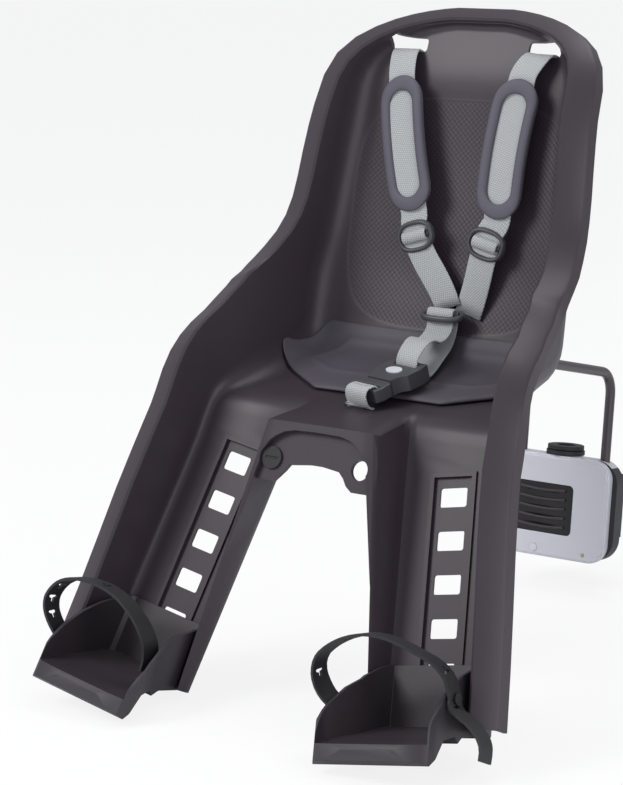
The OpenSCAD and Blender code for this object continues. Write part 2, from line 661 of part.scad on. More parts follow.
// A sliding tie: a frame that the webbing runs through, with a bar over its middle
module adjuster(i) {
    color("#48484d") along(ADJUST[i] - 11 * ADJUST_UP[i], ADJUST[i] + 11 * ADJUST_UP[i]) difference() {
        translate([0, -4.6, 0]) flat_plate(web_w + 9, 25, 10, 9.2);
        translate([-web_w / 2 - 1, -3, -20]) cube([web_w + 2, 6, 40]);
        for (k = [-1, 1]) translate([-web_w / 2 - 1, -6, k * 5.2 - 2.6]) cube([web_w + 2, 5, 5.2]);
    }
}
module adjuster_left() { adjuster(0); }
module adjuster_right() { adjuster(1); }
tie_w = 42;
module adjuster_lower() {
    color("#48484d") translate(lower_at) rotate([14, 0, 0]) rotate([90, 0, 0]) difference() {
        flat_plate(tie_w, 19, 8, 5);
        translate([-web_w / 2 - 1.2, -1, -7.4]) cube([web_w + 2.4, 8, 5.4]);
        translate([-web_w / 2 - 1.2, -1, 2]) cube([web_w + 2.4, 8, 5.4]);
    }
}

// Buckle frame: y towards the waist strap, z out of the pan
buckle_at = [11, 8, 12.6];
module on_buckle() {
    translate(buckle_at) rotate([0, 0, -16.6]) rotate([15, 0, 0]) children();
}
function buckle_pt(v) =
    let (c = cos(15), s = sin(15), q = [v[0], v[1] * c - v[2] * s, v[1] * s + v[2] * c],
        a = cos(-16.6), b = sin(-16.6))
    buckle_at + [q[0] * a - q[1] * b, q[0] * b + q[1] * a, q[2]];
buckle_t = 14;
module buckle_socket() {
    color("#46464b") on_buckle() difference() {
        translate([0, 0, -buckle_t / 2]) linear_extrude(buckle_t) polygon([
            [-15, -6], [15, -6], [16.5, 2], [22, 8], [23, 22], [20, 33], [-20, 33], [-23, 22],
            [-22, 8], [-16.5, 2]
        ]);
        translate([-12.5, -7, -3]) cube([25, 26, 6]);
        translate([-web_w / 2 - 0.8, 23, -9]) cube([web_w + 1.6, 6, 18]);
        translate([0, 12, 2.5]) linear_extrude(8) scale([1, 0.62]) circle(9.4, $fn = 32);
    }
}
module buckle_tongue() {
    color("#4a4a50") on_buckle() difference() {
        union() {
            translate([0, 0, -buckle_t / 2 + 1]) linear_extrude(buckle_t - 2) polygon([
                [-17, -27], [17, -27], [19, -20], [18, -9], [14.5, -6.4], [-14.5, -6.4], [-18, -9],
                [-19, -20]
            ]);
            translate([-12.2, -8, -2.7]) cube([24.4, 24, 5.4]);
        }
        translate([-web_w / 2 - 0.8, -22, -9]) cube([web_w + 1.6, 6, 18]);
    }
}
module buckle_button() {
    color("#e9e9ee") on_buckle() translate([0, 12, 5]) linear_extrude(3) scale([1, 0.62]) circle(9, $fn = 32);
}
// The waist strap is a loop: up from the buckle, over the tie's bar and down again
function tie_pt(v) =
    let (c = cos(14), s = sin(14)) lower_at + [v[0], v[1] * c + v[2] * s, v[1] * s - v[2] * c];
module waist_strap() {
    x = [1, 0, 0];
    bx = buckle_pt([1, 0, 0]) - buckle_at;
    color("#b3b6ba") band(rounded_path([
        [buckle_pt([0, 26, -4]), bx], [buckle_pt([0, 26, 9.5]), bx], [[19, 39, 40], bx],
        [[17, 58, 45], bx], [[12, 78, 38], x], [[10.4, 94, 42], x],
        [tie_pt([0, -4.7, 4]), x], [tie_pt([0, -5, -9]), x], [tie_pt([0, 5, -9]), x],
        [tie_pt([0, 4.7, 4]), x], [[11, 100, 32], x], [[15, 76, 22.5], bx],
        [buckle_pt([0, 38, -8.6]), bx], [buckle_pt([0, 30, -9.2]), bx]
    ]), web_w, web_t);
}
module crotch_strap() {
    x = [1, 0, 0];
    bx = buckle_pt([1, 0, 0]) - buckle_at;
    color("#b3b6ba") band(rounded_path([
        [[0, crotch_y, -19], x], [[0, crotch_y, -12], x], [[0, crotch_y - 0.6, -2.6], x],
        [[3, -27, -0.5], bx],
        [buckle_pt([0, -33, -6]), bx], [buckle_pt([0, -32, 8]), bx],
        [buckle_pt([0, -20, 8.2]), bx], [buckle_pt([0, -18.9, -3]), bx]
    ]), web_w, web_t);
}
module crotch_anchor() {
    color("#2b292e") on_nose() translate([-web_w / 2 - 7, -9, -shell_t - 12.3]) difference() {
        cube([web_w + 14, 18, 12]);
        translate([5.5, 5, 2]) cube([web_w + 3, 8, 12]);
    }
}

// Footrests slide on the legs: x across, y into the leg, z up the leg
// The footrest is drawn with its foot at 198 and then moved to the end of the track
rest_foot = -198;
rest_drop = track_foot - (rest_foot - 3);
rest_head = rest_foot + rest_back_h;
stand_off = rib_h + rest_gap;
module rest_side(pts) {
    rotate([90, 0, 90]) linear_extrude(160, center = true) polygon([for (q = pts) [-q[0], q[1]]]);
}
module rest_plan(pts) {
    translate([0, 0, -260]) linear_extrude(160) polygon([for (q = pts) [q[0], -q[1]]]);
}
module rest_body() {
    f = rest_len;
    difference() {
        intersection() {
            rest_side([
                [stand_off, rest_head], [stand_off, rest_foot], [18, -201.5], [40, -206], [47, -212],
                [53, -207.5], [f - 25, -213], [f - 14, -229], [f - 6, -236], [f + 1, -234],
                [f + 2.5, -225], [f, -214], [f - 6, -200], [f - 16, -186], [f - 32, -170], [44, -157],
                [22, rest_head - 5], [8, rest_head]
            ]);
            rest_plan([
                [-39.5, 0], [-45.5, 14], [-45.5, 50], [-58, 84], [-58.5, 90], [-55, f], [-30, f + 2.4],
                [-6, f + 3.2], [18, f + 2.2], [40, f], [45.5, f - 4], [47, f - 12], [46, 9],
                [40, 0]
            ]);
        }
        intersection() {
            rest_side([
                [stand_off + rest_t, rest_foot + 5.5], [f - 16, -214.5], [f - 5, -219], [f + 8, -222],
                [f + 8, -100], [stand_off + rest_t, -100]
            ]);
            rest_plan([
                [-36.5, 0], [-45.5 + rest_t, 14], [-45.5 + rest_t, 49.5], [-55.3, 84], [-55.4, 120], [44, 120],
                [43.8, f - 12], [43, 9], [38.5, 4], [37.5, 0]
            ]);
        }
    }
}
module on_rest(side) {
    on_leg(side) translate([0, 0, rest_drop]) children();
}
module footrest(side) {
    color("#38333a") on_rest(side) union() {
        rest_body();
        translate([-track_w / 2 + rest_gap, -stand_off - 1, rest_foot + 2])
            cube([track_w - 2 * rest_gap, stand_off + 1 + track_depth - rest_gap, rest_back_h - 3]);
    }
}
module footrest_left() { footrest(-1); }
module footrest_right() { footrest(1); }
// Rubber strap over the foot, in the leg frame as [x, out, up]
flared = [-0.345, 0.94, -0.2];
level = [0, 0.97, -0.24];
STRAP_TURN = [
    [[-52.6, 64, -193], flared], [[-53.4, 65, -186], flared], [[-66, 73, -172], flared],
    [[-68, 81, -152], level], [[-52, 88, -140], level], [[-26, 91, -132], level],
    [[0, 91, -134], level], [[25, 86, -145], level], [[46, 77, -157], level],
    [[50.4, 66, -174], level], [[49.6, 63, -186], level], [[62, 70.5, -194], level],
    [[76, 72, -204], level], [[85, 72.5, -217], level], [[84, 72.5, -230], level]
];
STRAP_TURN_LEFT = [
    [[49.6, 66, -206], level], [[50, 67, -196], level], [[60, 76, -186], level],
    [[68, 80, -174], level], [[67, 82, -161], level], [[56, 84, -147.5], level],
    [[33, 86, -141], level], [[3, 84, -141], level], [[-22, 80, -151.3], level],
    [[-36, 69, -166.5], level], [[-38.8, 60, -181], level], [[-38.8, 58, -194], level]
];
function out(v) = [v[0], -v[1], v[2]];
peg_at = [47, 64.5, -180];
inner_at = [-50.9, 64, -189.5];
peg_left_at = [47, 66, -202];
inner_left_at = [-44.8, 58, -189];
module foot_strap(side) {
    p = rounded_path([for (v = side < 0 ? STRAP_TURN_LEFT : STRAP_TURN) [out(v[0]), out(v[1])]]);
    color("#1f1f22") on_rest(side) difference() {
        union() {
            band(p, foot_strap_w, foot_strap_t);
        }
        for (i = side < 0 ? [8, 12, 16, 21, 25] : [9, 17, 31, 39]) {
            c = p[i][0];
            d = path_dir(p, i);
            n = unit(cross(p[i][1], d));
            u = cross(d, n);
            translate(c - n * 4)
                multmatrix([[u[0], d[0], n[0], 0], [u[1], d[1], n[1], 0], [u[2], d[2], n[2], 0]])
                    linear_extrude(8) polygon([
                        [-5.4, 1.9], [-4.4, 2.6], [4.4, 2.6], [5.4, 1.9], [4.6, 0.4], [1.9, -0.4],
                        [1.7, -3.6], [0, -4.4], [-1.7, -3.6], [-1.9, -0.4], [-4.6, 0.4]
                    ]);
        }
        translate(out(side < 0 ? peg_left_at : peg_at)) rotate([0, 90, 0])
            cylinder(r = 2.8, h = 12, $fn = 16);
        if (side < 0) translate(out(inner_left_at)) rotate([0, 90, 0]) translate([0, 0, 4])
            cylinder(r = 2.8, h = 8, $fn = 16);
        if (side > 0) translate(out(inner_at)) rotate([0, 0, -20]) rotate([0, -90, 0])
            translate([0, 0, -2]) cylinder(r = 2.8, h = 12, $fn = 16);
    }
}
module foot_strap_left() { foot_strap(-1); }
module foot_strap_right() { foot_strap(1); }
module strap_rivets(side) {
    color("#1a1a1c") on_rest(side) {
        translate(out(side < 0 ? peg_left_at : peg_at)) rotate([0, 90, 0]) {
            cylinder(r = 2.4, h = 6, $fn = 24);
            translate([0, 0, 5.2]) cylinder(r = 5, h = 2, $fn = 24);
        }
        if (side < 0) translate(out(inner_left_at)) rotate([0, 90, 0]) {
            cylinder(r = 2.4, h = 8.8, $fn = 24);
            translate([0, 0, 8.2]) cylinder(r = 5, h = 2, $fn = 24);
        }
        if (side > 0) translate(out(inner_at)) rotate([0, 0, -20]) rotate([0, -90, 0]) {
            cylinder(r = 2.4, h = 5.6, $fn = 24);
            translate([0, 0, 5]) cylinder(r = 5, h = 2, $fn = 24);
        }
    }
}
module strap_rivets_left() { strap_rivets(-1); }
module strap_rivets_right() { strap_rivets(1); }

// Block frame: x across, -y to the seat, z up the frame tube
block_at = [0, 335, -168];
block_lean = 6.5;
module on_block() {
    translate(block_at) rotate([-block_lean, 0, 0]) children();
}
function block_pt(v) =
    let (c = cos(block_lean), s = sin(block_lean))
    block_at + [v[0], v[1] * c + v[2] * s, v[2] * c - v[1] * s];
wire_x = wire_gap / 2;
wire_y = 15.9;
cover_t = 8;
housing_half = cover_half + 5;
housing_d = 38;
// Depth of the block's full outline; behind it only the clamp's body goes on
shoulder_d = 22;
split = 1.5;
liner_t = 2;
clamp_y = housing_d + tube_r + liner_t + 3;
socket_foot = -38;
window_l = -45;
window_r = 22;
window_low = -27;
window_top = 23;
// The button is deep only where it stays clear of the wire's socket
button_l = -38;
button_back = 10.6;

// The carrier wire, from the block's sockets round under the pan
function in_pan(s, drop) =
    let (b = spine(s), n = heading_dir(pan_heading + 90)) b - drop * n;
wire_foot = block_pt([0, wire_y, socket_foot + 0.3]);
wire_knee = block_pt([0, wire_y, 137]);
pan_a = in_pan(20, wire_drop);
pan_b = in_pan(90, wire_drop);
run_dir = [cos(13.3), -sin(13.3)];
wire_elbow = let (d = pan_b - pan_a, q = [wire_knee[1], wire_knee[2]])
    pan_a + d * cross2(q - pan_a, run_dir) / cross2(d, run_dir);
front_r = 24;
wire_nose = in_pan(16, wire_drop);
WIRE = [
    [wire_x, wire_foot[1], wire_foot[2]], [wire_x, wire_knee[1], wire_knee[2]],
    [wire_x, wire_elbow[0], wire_elbow[1]], [wire_x, wire_nose[0], wire_nose[1]],
    [0, wire_nose[0], wire_nose[1]]
];
BEND_R = [0, 24, 60, front_r, 0];
// Points round each bend, then a tube along all of them
function bend_points(i) =
    let (
        a = unit(WIRE[i] - WIRE[i - 1]), b = unit(WIRE[i + 1] - WIRE[i]), turn = acos(a * b),
        n = unit(b - (a * b) * a), r = BEND_R[i],
        start = WIRE[i] - a * r * tan(turn / 2), c = start + n * r,
        steps = max(3, ceil(turn / 11))
    )
    [for (k = [0 : steps]) let (g = turn * k / steps) c - n * r * cos(g) + a * r * sin(g)];
WIRE_HALF = concat([WIRE[0]], bend_points(1), bend_points(2), bend_points(3));
WIRE_PATH = concat(
    WIRE_HALF, [for (i = [len(WIRE_HALF) - 1 : -1 : 0])
        [-WIRE_HALF[i][0], WIRE_HALF[i][1], WIRE_HALF[i][2]]]
);
function wire_dir(i) =
    unit(
        (i < len(WIRE_PATH) - 1 ? unit(WIRE_PATH[i + 1] - WIRE_PATH[i]) : [0, 0, 0])
        + (i > 0 ? unit(WIRE_PATH[i] - WIRE_PATH[i - 1]) : [0, 0, 0])
    );
function carried(i, u) =
    let (d = wire_dir(i), v = unit(u - (u * d) * d))
    i == len(WIRE_PATH) - 1 ? [v] : concat([v], carried(i + 1, v));
wire_sides = 24;
module carrier_wire() {
    u = carried(0, [1, 0, 0]);
    n = len(WIRE_PATH);
    q = wire_sides;
    color("#4a4648") polyhedron(
        points = [for (i = [0 : n - 1]) let (v = cross(wire_dir(i), u[i]))
            for (k = [0 : q - 1])
                WIRE_PATH[i] + wire_r * (cos(360 * k / q) * u[i] + sin(360 * k / q) * v)],
        faces = concat(
            [[for (k = [0 : q - 1]) k]],
            [for (i = [0 : n - 2]) for (k = [0 : q - 1])
                let (a = i * q + k, b = i * q + (k + 1) % q)
                for (f = two(a, a + q, b + q, b)) f],
            [[for (k = [q - 1 : -1 : 0]) (n - 1) * q + k]]
        )
    );
}
saddle_t = 4;
module saddle(s) {
    color("#2b292e") on_pan(s) difference() {
        union() {
            translate([-boss_x + 7, -8, -shell_t - boss_len - saddle_t])
                cube([2 * boss_x - 14, 16, boss_len + saddle_t - 0.3]);
            translate([-boss_x - 8, -8, -shell_t - boss_len - saddle_t])
                cube([2 * boss_x + 16, 16, saddle_t]);
        }
        for (k = [-1, 1]) {
            translate([k * wire_x, -9, -wire_drop]) rotate([-90, 0, 0])
                cylinder(r = wire_r + 0.3, h = 18, $fn = 32);
            translate([k * wire_x - wire_r - 0.3, -9, -wire_drop])
                cube([2 * wire_r + 0.6, 18, wire_drop]);
            translate([k * boss_x, 0, -shell_t - boss_len - saddle_t - 1])
                cylinder(r = screw_r + 0.2, h = saddle_t + 2, $fn = 24);
        }
        translate([-wire_x + 16, -9, -shell_t - boss_len + 1]) cube([2 * wire_x - 32, 18, boss_len]);
    }
}
module saddle_front() { saddle(saddle_s[0]); }
module saddle_rear() { saddle(saddle_s[1]); }
module saddle_screws() {
    color("#8a8a90") for (s = saddle_s) for (k = [-1, 1])
        on_pan(s) translate([k * boss_x, 0, -shell_t - boss_len - saddle_t]) {
            translate([0, 0, -2.4]) cylinder(r = 4.2, h = 2.4, $fn = 24);
            translate([0, 0, -e]) cylinder(r = screw_r, h = saddle_t + boss_len - 3, $fn = 24);
        }
}

// The block on the frame tube
module bolt_places() {
    for (kx = [-1, 1]) for (kz = [-1, 1])
        translate([kx * (tube_r + liner_t + 14), clamp_y, kz * clamp_len * 0.3]) children();
}
ear_half = tube_r + liner_t + 23;
module block_housing() {
    h = cover_h;
    color("#26252a") on_block() difference() {
        union() {
            translate([0, cover_t + 0.3, 1])
                flat_plate(2 * housing_half, h - 2, 23, shoulder_d - cover_t - 0.3);
            translate([-ear_half - 2, shoulder_d - 1, -clamp_len / 2 - 6])
                cube([2 * ear_half + 4, housing_d - shoulder_d + 1, clamp_len + 12]);
            translate([-ear_half, housing_d - 1, -clamp_len / 2])
                cube([2 * ear_half, clamp_y - split - housing_d + 1, clamp_len]);
        }
        for (k = [-1, 1]) translate([k * wire_x, wire_y, socket_foot])
            cylinder(r = wire_r + wire_fit, h = h, $fn = 48);
        translate([0, clamp_y, -clamp_len]) cylinder(r = tube_r + liner_t, h = 2 * clamp_len, $fn = 64);
        // chamber of the release button, shallow in front of the wire's socket
        translate([window_l - 1, cover_t, window_low - 1])
            cube([8, 4, window_top - window_low + 2]);
        translate([button_l - 1, cover_t, window_low - 3])
            cube([window_r + 5 - button_l, button_back + button_travel + 0.6 - cover_t,
                window_top - window_low + 6]);
        bolt_places() rotate([90, 0, 0]) translate([0, 0, -20])
            cylinder(r = bolt_r + 0.2, h = 40, $fn = 24);
        // room for the nuts behind the front wall of the ears
        for (kx = [-1, 1]) translate([kx * (tube_r + liner_t + 14) - 8, housing_d - 2, -clamp_len / 2 - 1])
            cube([16, 8, clamp_len + 2]);
    }
}
cover_r = 19;
module block_cover() {
    h = cover_h;
    color("#9ea1a8") on_block() difference() {
        union() {
            flat_plate(2 * cover_half - 5, h - 5, cover_r - 2.5, 3);
            translate([0, 1, 0]) flat_plate(2 * cover_half - 2, h - 2, cover_r - 1, 3);
            translate([0, 2.4, 0]) flat_plate(2 * cover_half, h, cover_r, cover_t - 2.4);
        }
        // the window of the release button
        translate([(window_l + window_r) / 2, -1, (window_top + window_low) / 2])
            flat_plate(window_r - window_l, window_top - window_low, 5, cover_t + 2);
        translate([-18, -1, -h / 2 + 8]) rotate([-90, 0, 0]) cylinder(r = 4.2, h = 6, $fn = 24);
        translate([37, -1, -h / 2 + 7.5]) rotate([-90, 0, 0]) cylinder(r = 1.8, h = 6, $fn = 16);
    }
}
module release_button() {
    w = window_r - window_l - 0.8;
    h = window_top - window_low - 0.8;
    m = (window_l + window_r) / 2;
    zc = (window_top + window_low) / 2;
    color("#1b1b1e") on_block() union() {
        difference() {
            translate([m, 0.6, zc]) flat_plate(w, h, 4.6, 5);
            for (i = [0 : 4]) translate([m, 0, zc - h / 2 + 6.2 + i * 8.6])
                translate([0, -56, 0]) cylinder(r = 59.4, h = 3, $fn = 96);
        }
        translate([button_l, 5, zc - h / 2 + 4]) cube([window_r - 1.6 - button_l, button_back - 5, h - 8]);
        translate([button_l, cover_t + 0.3, zc - h / 2 - 2])
            cube([window_r + 2 - button_l, button_back - cover_t - 0.3, h + 4]);
    }
}
module cover_screw_cap() {
    color("#dcdce0") on_block() translate([-18, 5, -cover_h / 2 + 8]) rotate([90, 0, 0])
        cylinder(r = 4.1, h = 6, $fn = 24);
}
module lock_indicator() {
    color("#5fae4a") on_block() translate([37, 5, -cover_h / 2 + 7.5]) rotate([90, 0, 0])
        cylinder(r = 1.7, h = 5.4, $fn = 16);
}
module tube_collar() {
    color("#1c1c1f") on_block() translate([0, 20, cover_h / 2 + 0.3]) difference() {
        union() {
            cylinder(r = 19, h = 4.4, $fn = 48);
            translate([0, 0, 4]) cylinder(r = 16, h = 1.6, $fn = 48);
            translate([0, 0, 5.2]) cylinder(r = 18, h = 4, $fn = 48);
        }
        translate([0, 0, 3]) cylinder(r = 9, h = 10, $fn = 32);
    }
}
module clamp_back() {
    color("#26252a") on_block() difference() {
        union() {
            translate([-ear_half, clamp_y + split, -clamp_len / 2]) cube([2 * ear_half, 10, clamp_len]);
            translate([0, clamp_y, -clamp_len / 2]) intersection() {
                cylinder(r = tube_r + liner_t + 6, h = clamp_len, $fn = 64);
                translate([-60, split, -1]) cube([120, 60, clamp_len + 2]);
            }
        }
        translate([0, clamp_y, -clamp_len]) cylinder(r = tube_r + liner_t, h = 2 * clamp_len, $fn = 64);
        bolt_places() rotate([90, 0, 0]) translate([0, 0, -20])
            cylinder(r = bolt_r + 0.2, h = 40, $fn = 24);
    }
}
module clamp_liner(k) {
    color("#1c1c1f") on_block() translate([0, clamp_y, -clamp_len / 2]) difference() {
        cylinder(r = tube_r + liner_t - 0.05, h = clamp_len, $fn = 64);
        translate([0, 0, -1]) cylinder(r = tube_r, h = clamp_len + 2, $fn = 64);
        translate([-60, k > 0 ? -60 : -0.4, -1]) cube([120, 60.4, clamp_len + 2]);
    }
}
module clamp_liner_front() { clamp_liner(-1); }
module clamp_liner_back() { clamp_liner(1); }
nut_t = 4.6;
module clamp_bolts() {
    color("#8a8a90") on_block() bolt_places() rotate([90, 0, 0]) {
        translate([0, 0, -split - 10 - 5]) cylinder(r = 5, h = 5, $fn = 6);
        translate([0, 0, -split - 10 - e]) cylinder(r = bolt_r, h = split + 10 + 20, $fn = 24);
    }
}
module clamp_nuts() {
    y = clamp_y - housing_d - 6;
    color("#8a8a90") on_block() bolt_places() rotate([90, 0, 0]) translate([0, 0, y]) difference() {
        cylinder(r = 5.4, h = nut_t, $fn = 6);
        translate([0, 0, -1]) cylinder(r = bolt_r + 0.05, h = nut_t + 2, $fn = 24);
    }
}

// The whole part hangs from the middle of the tube clamp
tube_mid = block_pt([0, clamp_y, 0]);
module placed() {
    translate(-tube_mid) children();
}
placed() seat_shell();
placed() seat_pad();
placed() apron_cap();
placed() crotch_anchor();
placed() shoulder_strap_left();
placed() shoulder_strap_right();
placed() strap_keeper_left();
placed() strap_keeper_right();
placed() shoulder_pad_left();
placed() shoulder_pad_right();
placed() adjuster_left();
placed() adjuster_right();
placed() adjuster_lower();
placed() waist_strap();
placed() crotch_strap();
placed() buckle_socket();
placed() buckle_tongue();
placed() buckle_button();
placed() footrest_left();
placed() footrest_right();
placed() foot_strap_left();
placed() foot_strap_right();
placed() strap_rivets_left();
placed() strap_rivets_right();
placed() carrier_wire();
placed() saddle_front();
placed() saddle_rear();
placed() saddle_screws();
placed() block_housing();
placed() block_cover();
placed() release_button();
placed() cover_screw_cap();
placed() lock_indicator();
placed() tube_collar();
placed() clamp_back();
placed() clamp_liner_front();
placed() clamp_liner_back();
placed() clamp_bolts();
placed() clamp_nuts();
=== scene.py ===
# %% [markdown]
# # A child bike seat, dressed in Blender
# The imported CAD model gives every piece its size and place. This file adds what a plain
# solid lacks: soft cushions, woven webbing, moulded plastic with its grain, and the light
# and camera of the photograph. Everything is in metres, with the origin in the middle of
# the clamp that grips the bicycle's frame tube. The child faces -Y.

# %% Load the model
import json
import math

import bmesh
import bpy
import numpy as np
from mathutils import Matrix, Vector
from mathutils.bvhtree import BVHTree


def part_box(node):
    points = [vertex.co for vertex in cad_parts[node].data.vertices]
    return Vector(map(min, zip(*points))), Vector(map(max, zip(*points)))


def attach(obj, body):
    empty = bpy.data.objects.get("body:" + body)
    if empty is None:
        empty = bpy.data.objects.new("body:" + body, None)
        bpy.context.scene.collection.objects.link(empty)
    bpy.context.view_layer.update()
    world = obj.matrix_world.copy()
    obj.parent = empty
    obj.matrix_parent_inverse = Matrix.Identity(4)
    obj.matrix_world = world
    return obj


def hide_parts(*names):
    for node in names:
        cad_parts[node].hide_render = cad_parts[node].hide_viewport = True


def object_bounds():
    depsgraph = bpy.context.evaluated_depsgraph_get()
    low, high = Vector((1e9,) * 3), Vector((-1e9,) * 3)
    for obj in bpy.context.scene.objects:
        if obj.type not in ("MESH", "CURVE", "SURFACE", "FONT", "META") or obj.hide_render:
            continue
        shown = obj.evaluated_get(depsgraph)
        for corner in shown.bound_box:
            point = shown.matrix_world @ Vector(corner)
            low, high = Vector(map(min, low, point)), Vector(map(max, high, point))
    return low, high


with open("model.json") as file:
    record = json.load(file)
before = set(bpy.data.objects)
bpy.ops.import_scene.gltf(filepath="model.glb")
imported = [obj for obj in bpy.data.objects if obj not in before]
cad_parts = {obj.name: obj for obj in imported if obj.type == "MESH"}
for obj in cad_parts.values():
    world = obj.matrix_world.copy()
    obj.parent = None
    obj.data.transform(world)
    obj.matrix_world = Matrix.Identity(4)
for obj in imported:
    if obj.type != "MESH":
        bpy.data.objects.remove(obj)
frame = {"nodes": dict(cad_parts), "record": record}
nodes = frame["nodes"]
cad_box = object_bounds()
print("model loaded:", len(nodes), "nodes, box", [[round(float(v), 3) for v in c] for c in cad_box])

# %% [markdown]
# ## Places on the seat
# Pieces are placed in millimetres from the middle of the seat mat's front edge, which is
# how the real seat would be measured. One function turns such a place into metres in the
# frame of the clamp.

# %% Places
ROW_Y, ROW_Z = 394.614, 174.792
X = Vector((1, 0, 0))


def seat(x, y, z):
    """A place in millimetres from the seat mat's front edge, in metres in the clamp's frame."""
    return Vector((x / 1000.0, (y - ROW_Y) / 1000.0, (z + ROW_Z) / 1000.0))


print("seat mat's front edge at", [round(v, 3) for v in seat(0, 0, 0)])

# %% [markdown]
# ## Camera
# The photograph was taken from the seat's front right, a little above it, through a long
# lens. The camera is given by its azimuth, its elevation and its place, so that the model
# falls on the same pixels as the real seat does.

# %% Camera
AZIMUTH = math.radians(34.0)
ELEVATION = 0.20261
CAMERA_AT = Vector((1.12958, -2.15938, 0.60924))
LENS = 113.52


def camera_axes(azimuth, elevation):
    """Right, up and backward directions of a level camera."""
    back = Vector((math.sin(azimuth) * math.cos(elevation),
                   -math.cos(azimuth) * math.cos(elevation), math.sin(elevation)))
    right = Vector((math.cos(azimuth), math.sin(azimuth), 0.0))
    return right, back.cross(right), back


def add_camera():
    data = bpy.data.cameras.new("camera")
    data.lens, data.sensor_width, data.clip_end = LENS, 36.0, 20.0
    cam = bpy.data.objects.new("camera", data)
    bpy.context.scene.collection.objects.link(cam)
    right, up, back = camera_axes(AZIMUTH, ELEVATION)
    turn = Matrix((right, up, back)).transposed().to_4x4()
    cam.matrix_world = Matrix.Translation(CAMERA_AT) @ turn
    bpy.context.scene.camera = cam


add_camera()
print("camera distance", round(CAMERA_AT.length, 3), "m, lens", LENS, "mm")

# %% [markdown]
# ## Floor, world and lamps
# A pale floor that reads as white to the camera, with the seat's soft shadow on it. The
# white comes from the floor's and the world's own colour for camera rays, while the lamps
# stay at a plain level.

# %% Stage
FLOOR_Z = float(cad_box[0][2]) - 0.002
bpy.context.scene.view_settings.view_transform = "Standard"


def link_nodes(tree, pairs):
    for a, b in pairs:
        tree.links.new(a, b)


def white_world():
    world = bpy.data.worlds.new("studio")
    bpy.context.scene.world = world
    world.use_nodes = True
    tree = world.node_tree
    tree.nodes.clear()
    out = tree.nodes.new("ShaderNodeOutputWorld")
    soft = tree.nodes.new("ShaderNodeBackground")
    soft.inputs["Color"].default_value = (0.92, 0.95, 1.0, 1.0)
    soft.inputs["Strength"].default_value = 0.50
    white = tree.nodes.new("ShaderNodeBackground")
    white.inputs["Color"].default_value = (1.0, 1.0, 1.0, 1.0)
    white.inputs["Strength"].default_value = 1.0
    path = tree.nodes.new("ShaderNodeLightPath")
    mix = tree.nodes.new("ShaderNodeMixShader")
    link_nodes(tree, [(path.outputs["Is Camera Ray"], mix.inputs[0]),
                      (soft.outputs[0], mix.inputs[1]), (white.outputs[0], mix.inputs[2]),
                      (mix.outputs[0], out.inputs[0])])


def white_floor():
    mesh = bpy.data.meshes.new("floor")
    r = 40.0
    mesh.from_pydata([(-r, -r, FLOOR_Z), (r, -r, FLOOR_Z), (r, r, FLOOR_Z), (-r, r, FLOOR_Z)], [],
                     [(0, 1, 2, 3)])
    floor = bpy.data.objects.new("floor", mesh)
    bpy.context.scene.collection.objects.link(floor)
    mat = bpy.data.materials.new("floor_white")
    mat.use_nodes = True
    tree = mat.node_tree
    tree.nodes.clear()
    out = tree.nodes.new("ShaderNodeOutputMaterial")
    cloth = tree.nodes.new("ShaderNodeBsdfDiffuse")
    cloth.inputs["Color"].default_value = (0.9, 0.9, 0.9, 1.0)
    glow = tree.nodes.new("ShaderNodeEmission")
    glow.inputs["Strength"].default_value = 1.0
    path = tree.nodes.new("ShaderNodeLightPath")
    scale = tree.nodes.new("ShaderNodeMath")
    scale.operation = "MULTIPLY"
    scale.inputs[1].default_value = 0.84
    mix = tree.nodes.new("ShaderNodeMixShader")
    link_nodes(tree, [(path.outputs["Is Camera Ray"], scale.inputs[0]),
                      (scale.outputs[0], mix.inputs[0]), (cloth.outputs[0], mix.inputs[1]),
                      (glow.outputs[0], mix.inputs[2]), (mix.outputs[0], out.inputs[0])])
    mesh.materials.append(mat)


def soft_lamp(name, place, aim, size, power, tint=(1.0, 1.0, 1.0)):
    data = bpy.data.lights.new(name, "AREA")
    data.shape, data.size, data.energy, data.color = "DISK", size, power, tint
    lamp = bpy.data.objects.new(name, data)
    bpy.context.scene.collection.objects.link(lamp)
    lamp.matrix_world = Matrix.Translation(place) @ (Vector(place) - Vector(aim)).to_track_quat(
        "Z", "Y").to_matrix().to_4x4()
    return lamp


white_world()
white_floor()
middle = (0.0, -0.35, 0.2)
soft_lamp("key", (-1.4, -2.2, 2.0), middle, 1.3, 46.0)
soft_lamp("fill", (2.2, -1.6, 0.9), middle, 1.6, 20.0)
soft_lamp("top", (0.2, 0.4, 2.4), middle, 1.4, 17.0)
print("floor at", round(FLOOR_Z, 4), "m; three soft lamps")

# %% [markdown]
# ## Effects that several materials share
# Small shader groups are built once and placed in each material with its own values.
# *Moulded grain* gives a fine, leathery height and a slight change of colour. *Weave*
# crosses two slanted waves on a strap's own UV map.

# %% Shader groups


def new_group(name, inputs, outputs):
    """A shader node group with float, colour or vector sockets."""
    tree = bpy.data.node_groups.new(name, "ShaderNodeTree")
    kinds = {"f": "NodeSocketFloat", "c": "NodeSocketColor", "v": "NodeSocketVector"}
    for key, kind, value in inputs:
        sock = tree.interface.new_socket(name=key, in_out="INPUT", socket_type=kinds[kind])
        sock.default_value = value
    for key, kind in outputs:
        tree.interface.new_socket(name=key, in_out="OUTPUT", socket_type=kinds[kind])
    return tree, tree.nodes.new("NodeGroupInput"), tree.nodes.new("NodeGroupOutput")


def math_node(tree, op, a, b=None, c=None):
    node = tree.nodes.new("ShaderNodeMath")
    node.operation = op
    for i, v in enumerate((a, b, c)):
        if v is None:
            continue
        if isinstance(v, (int, float)):
            node.inputs[i].default_value = v
        else:
            tree.links.new(v, node.inputs[i])
    return node.outputs[0]


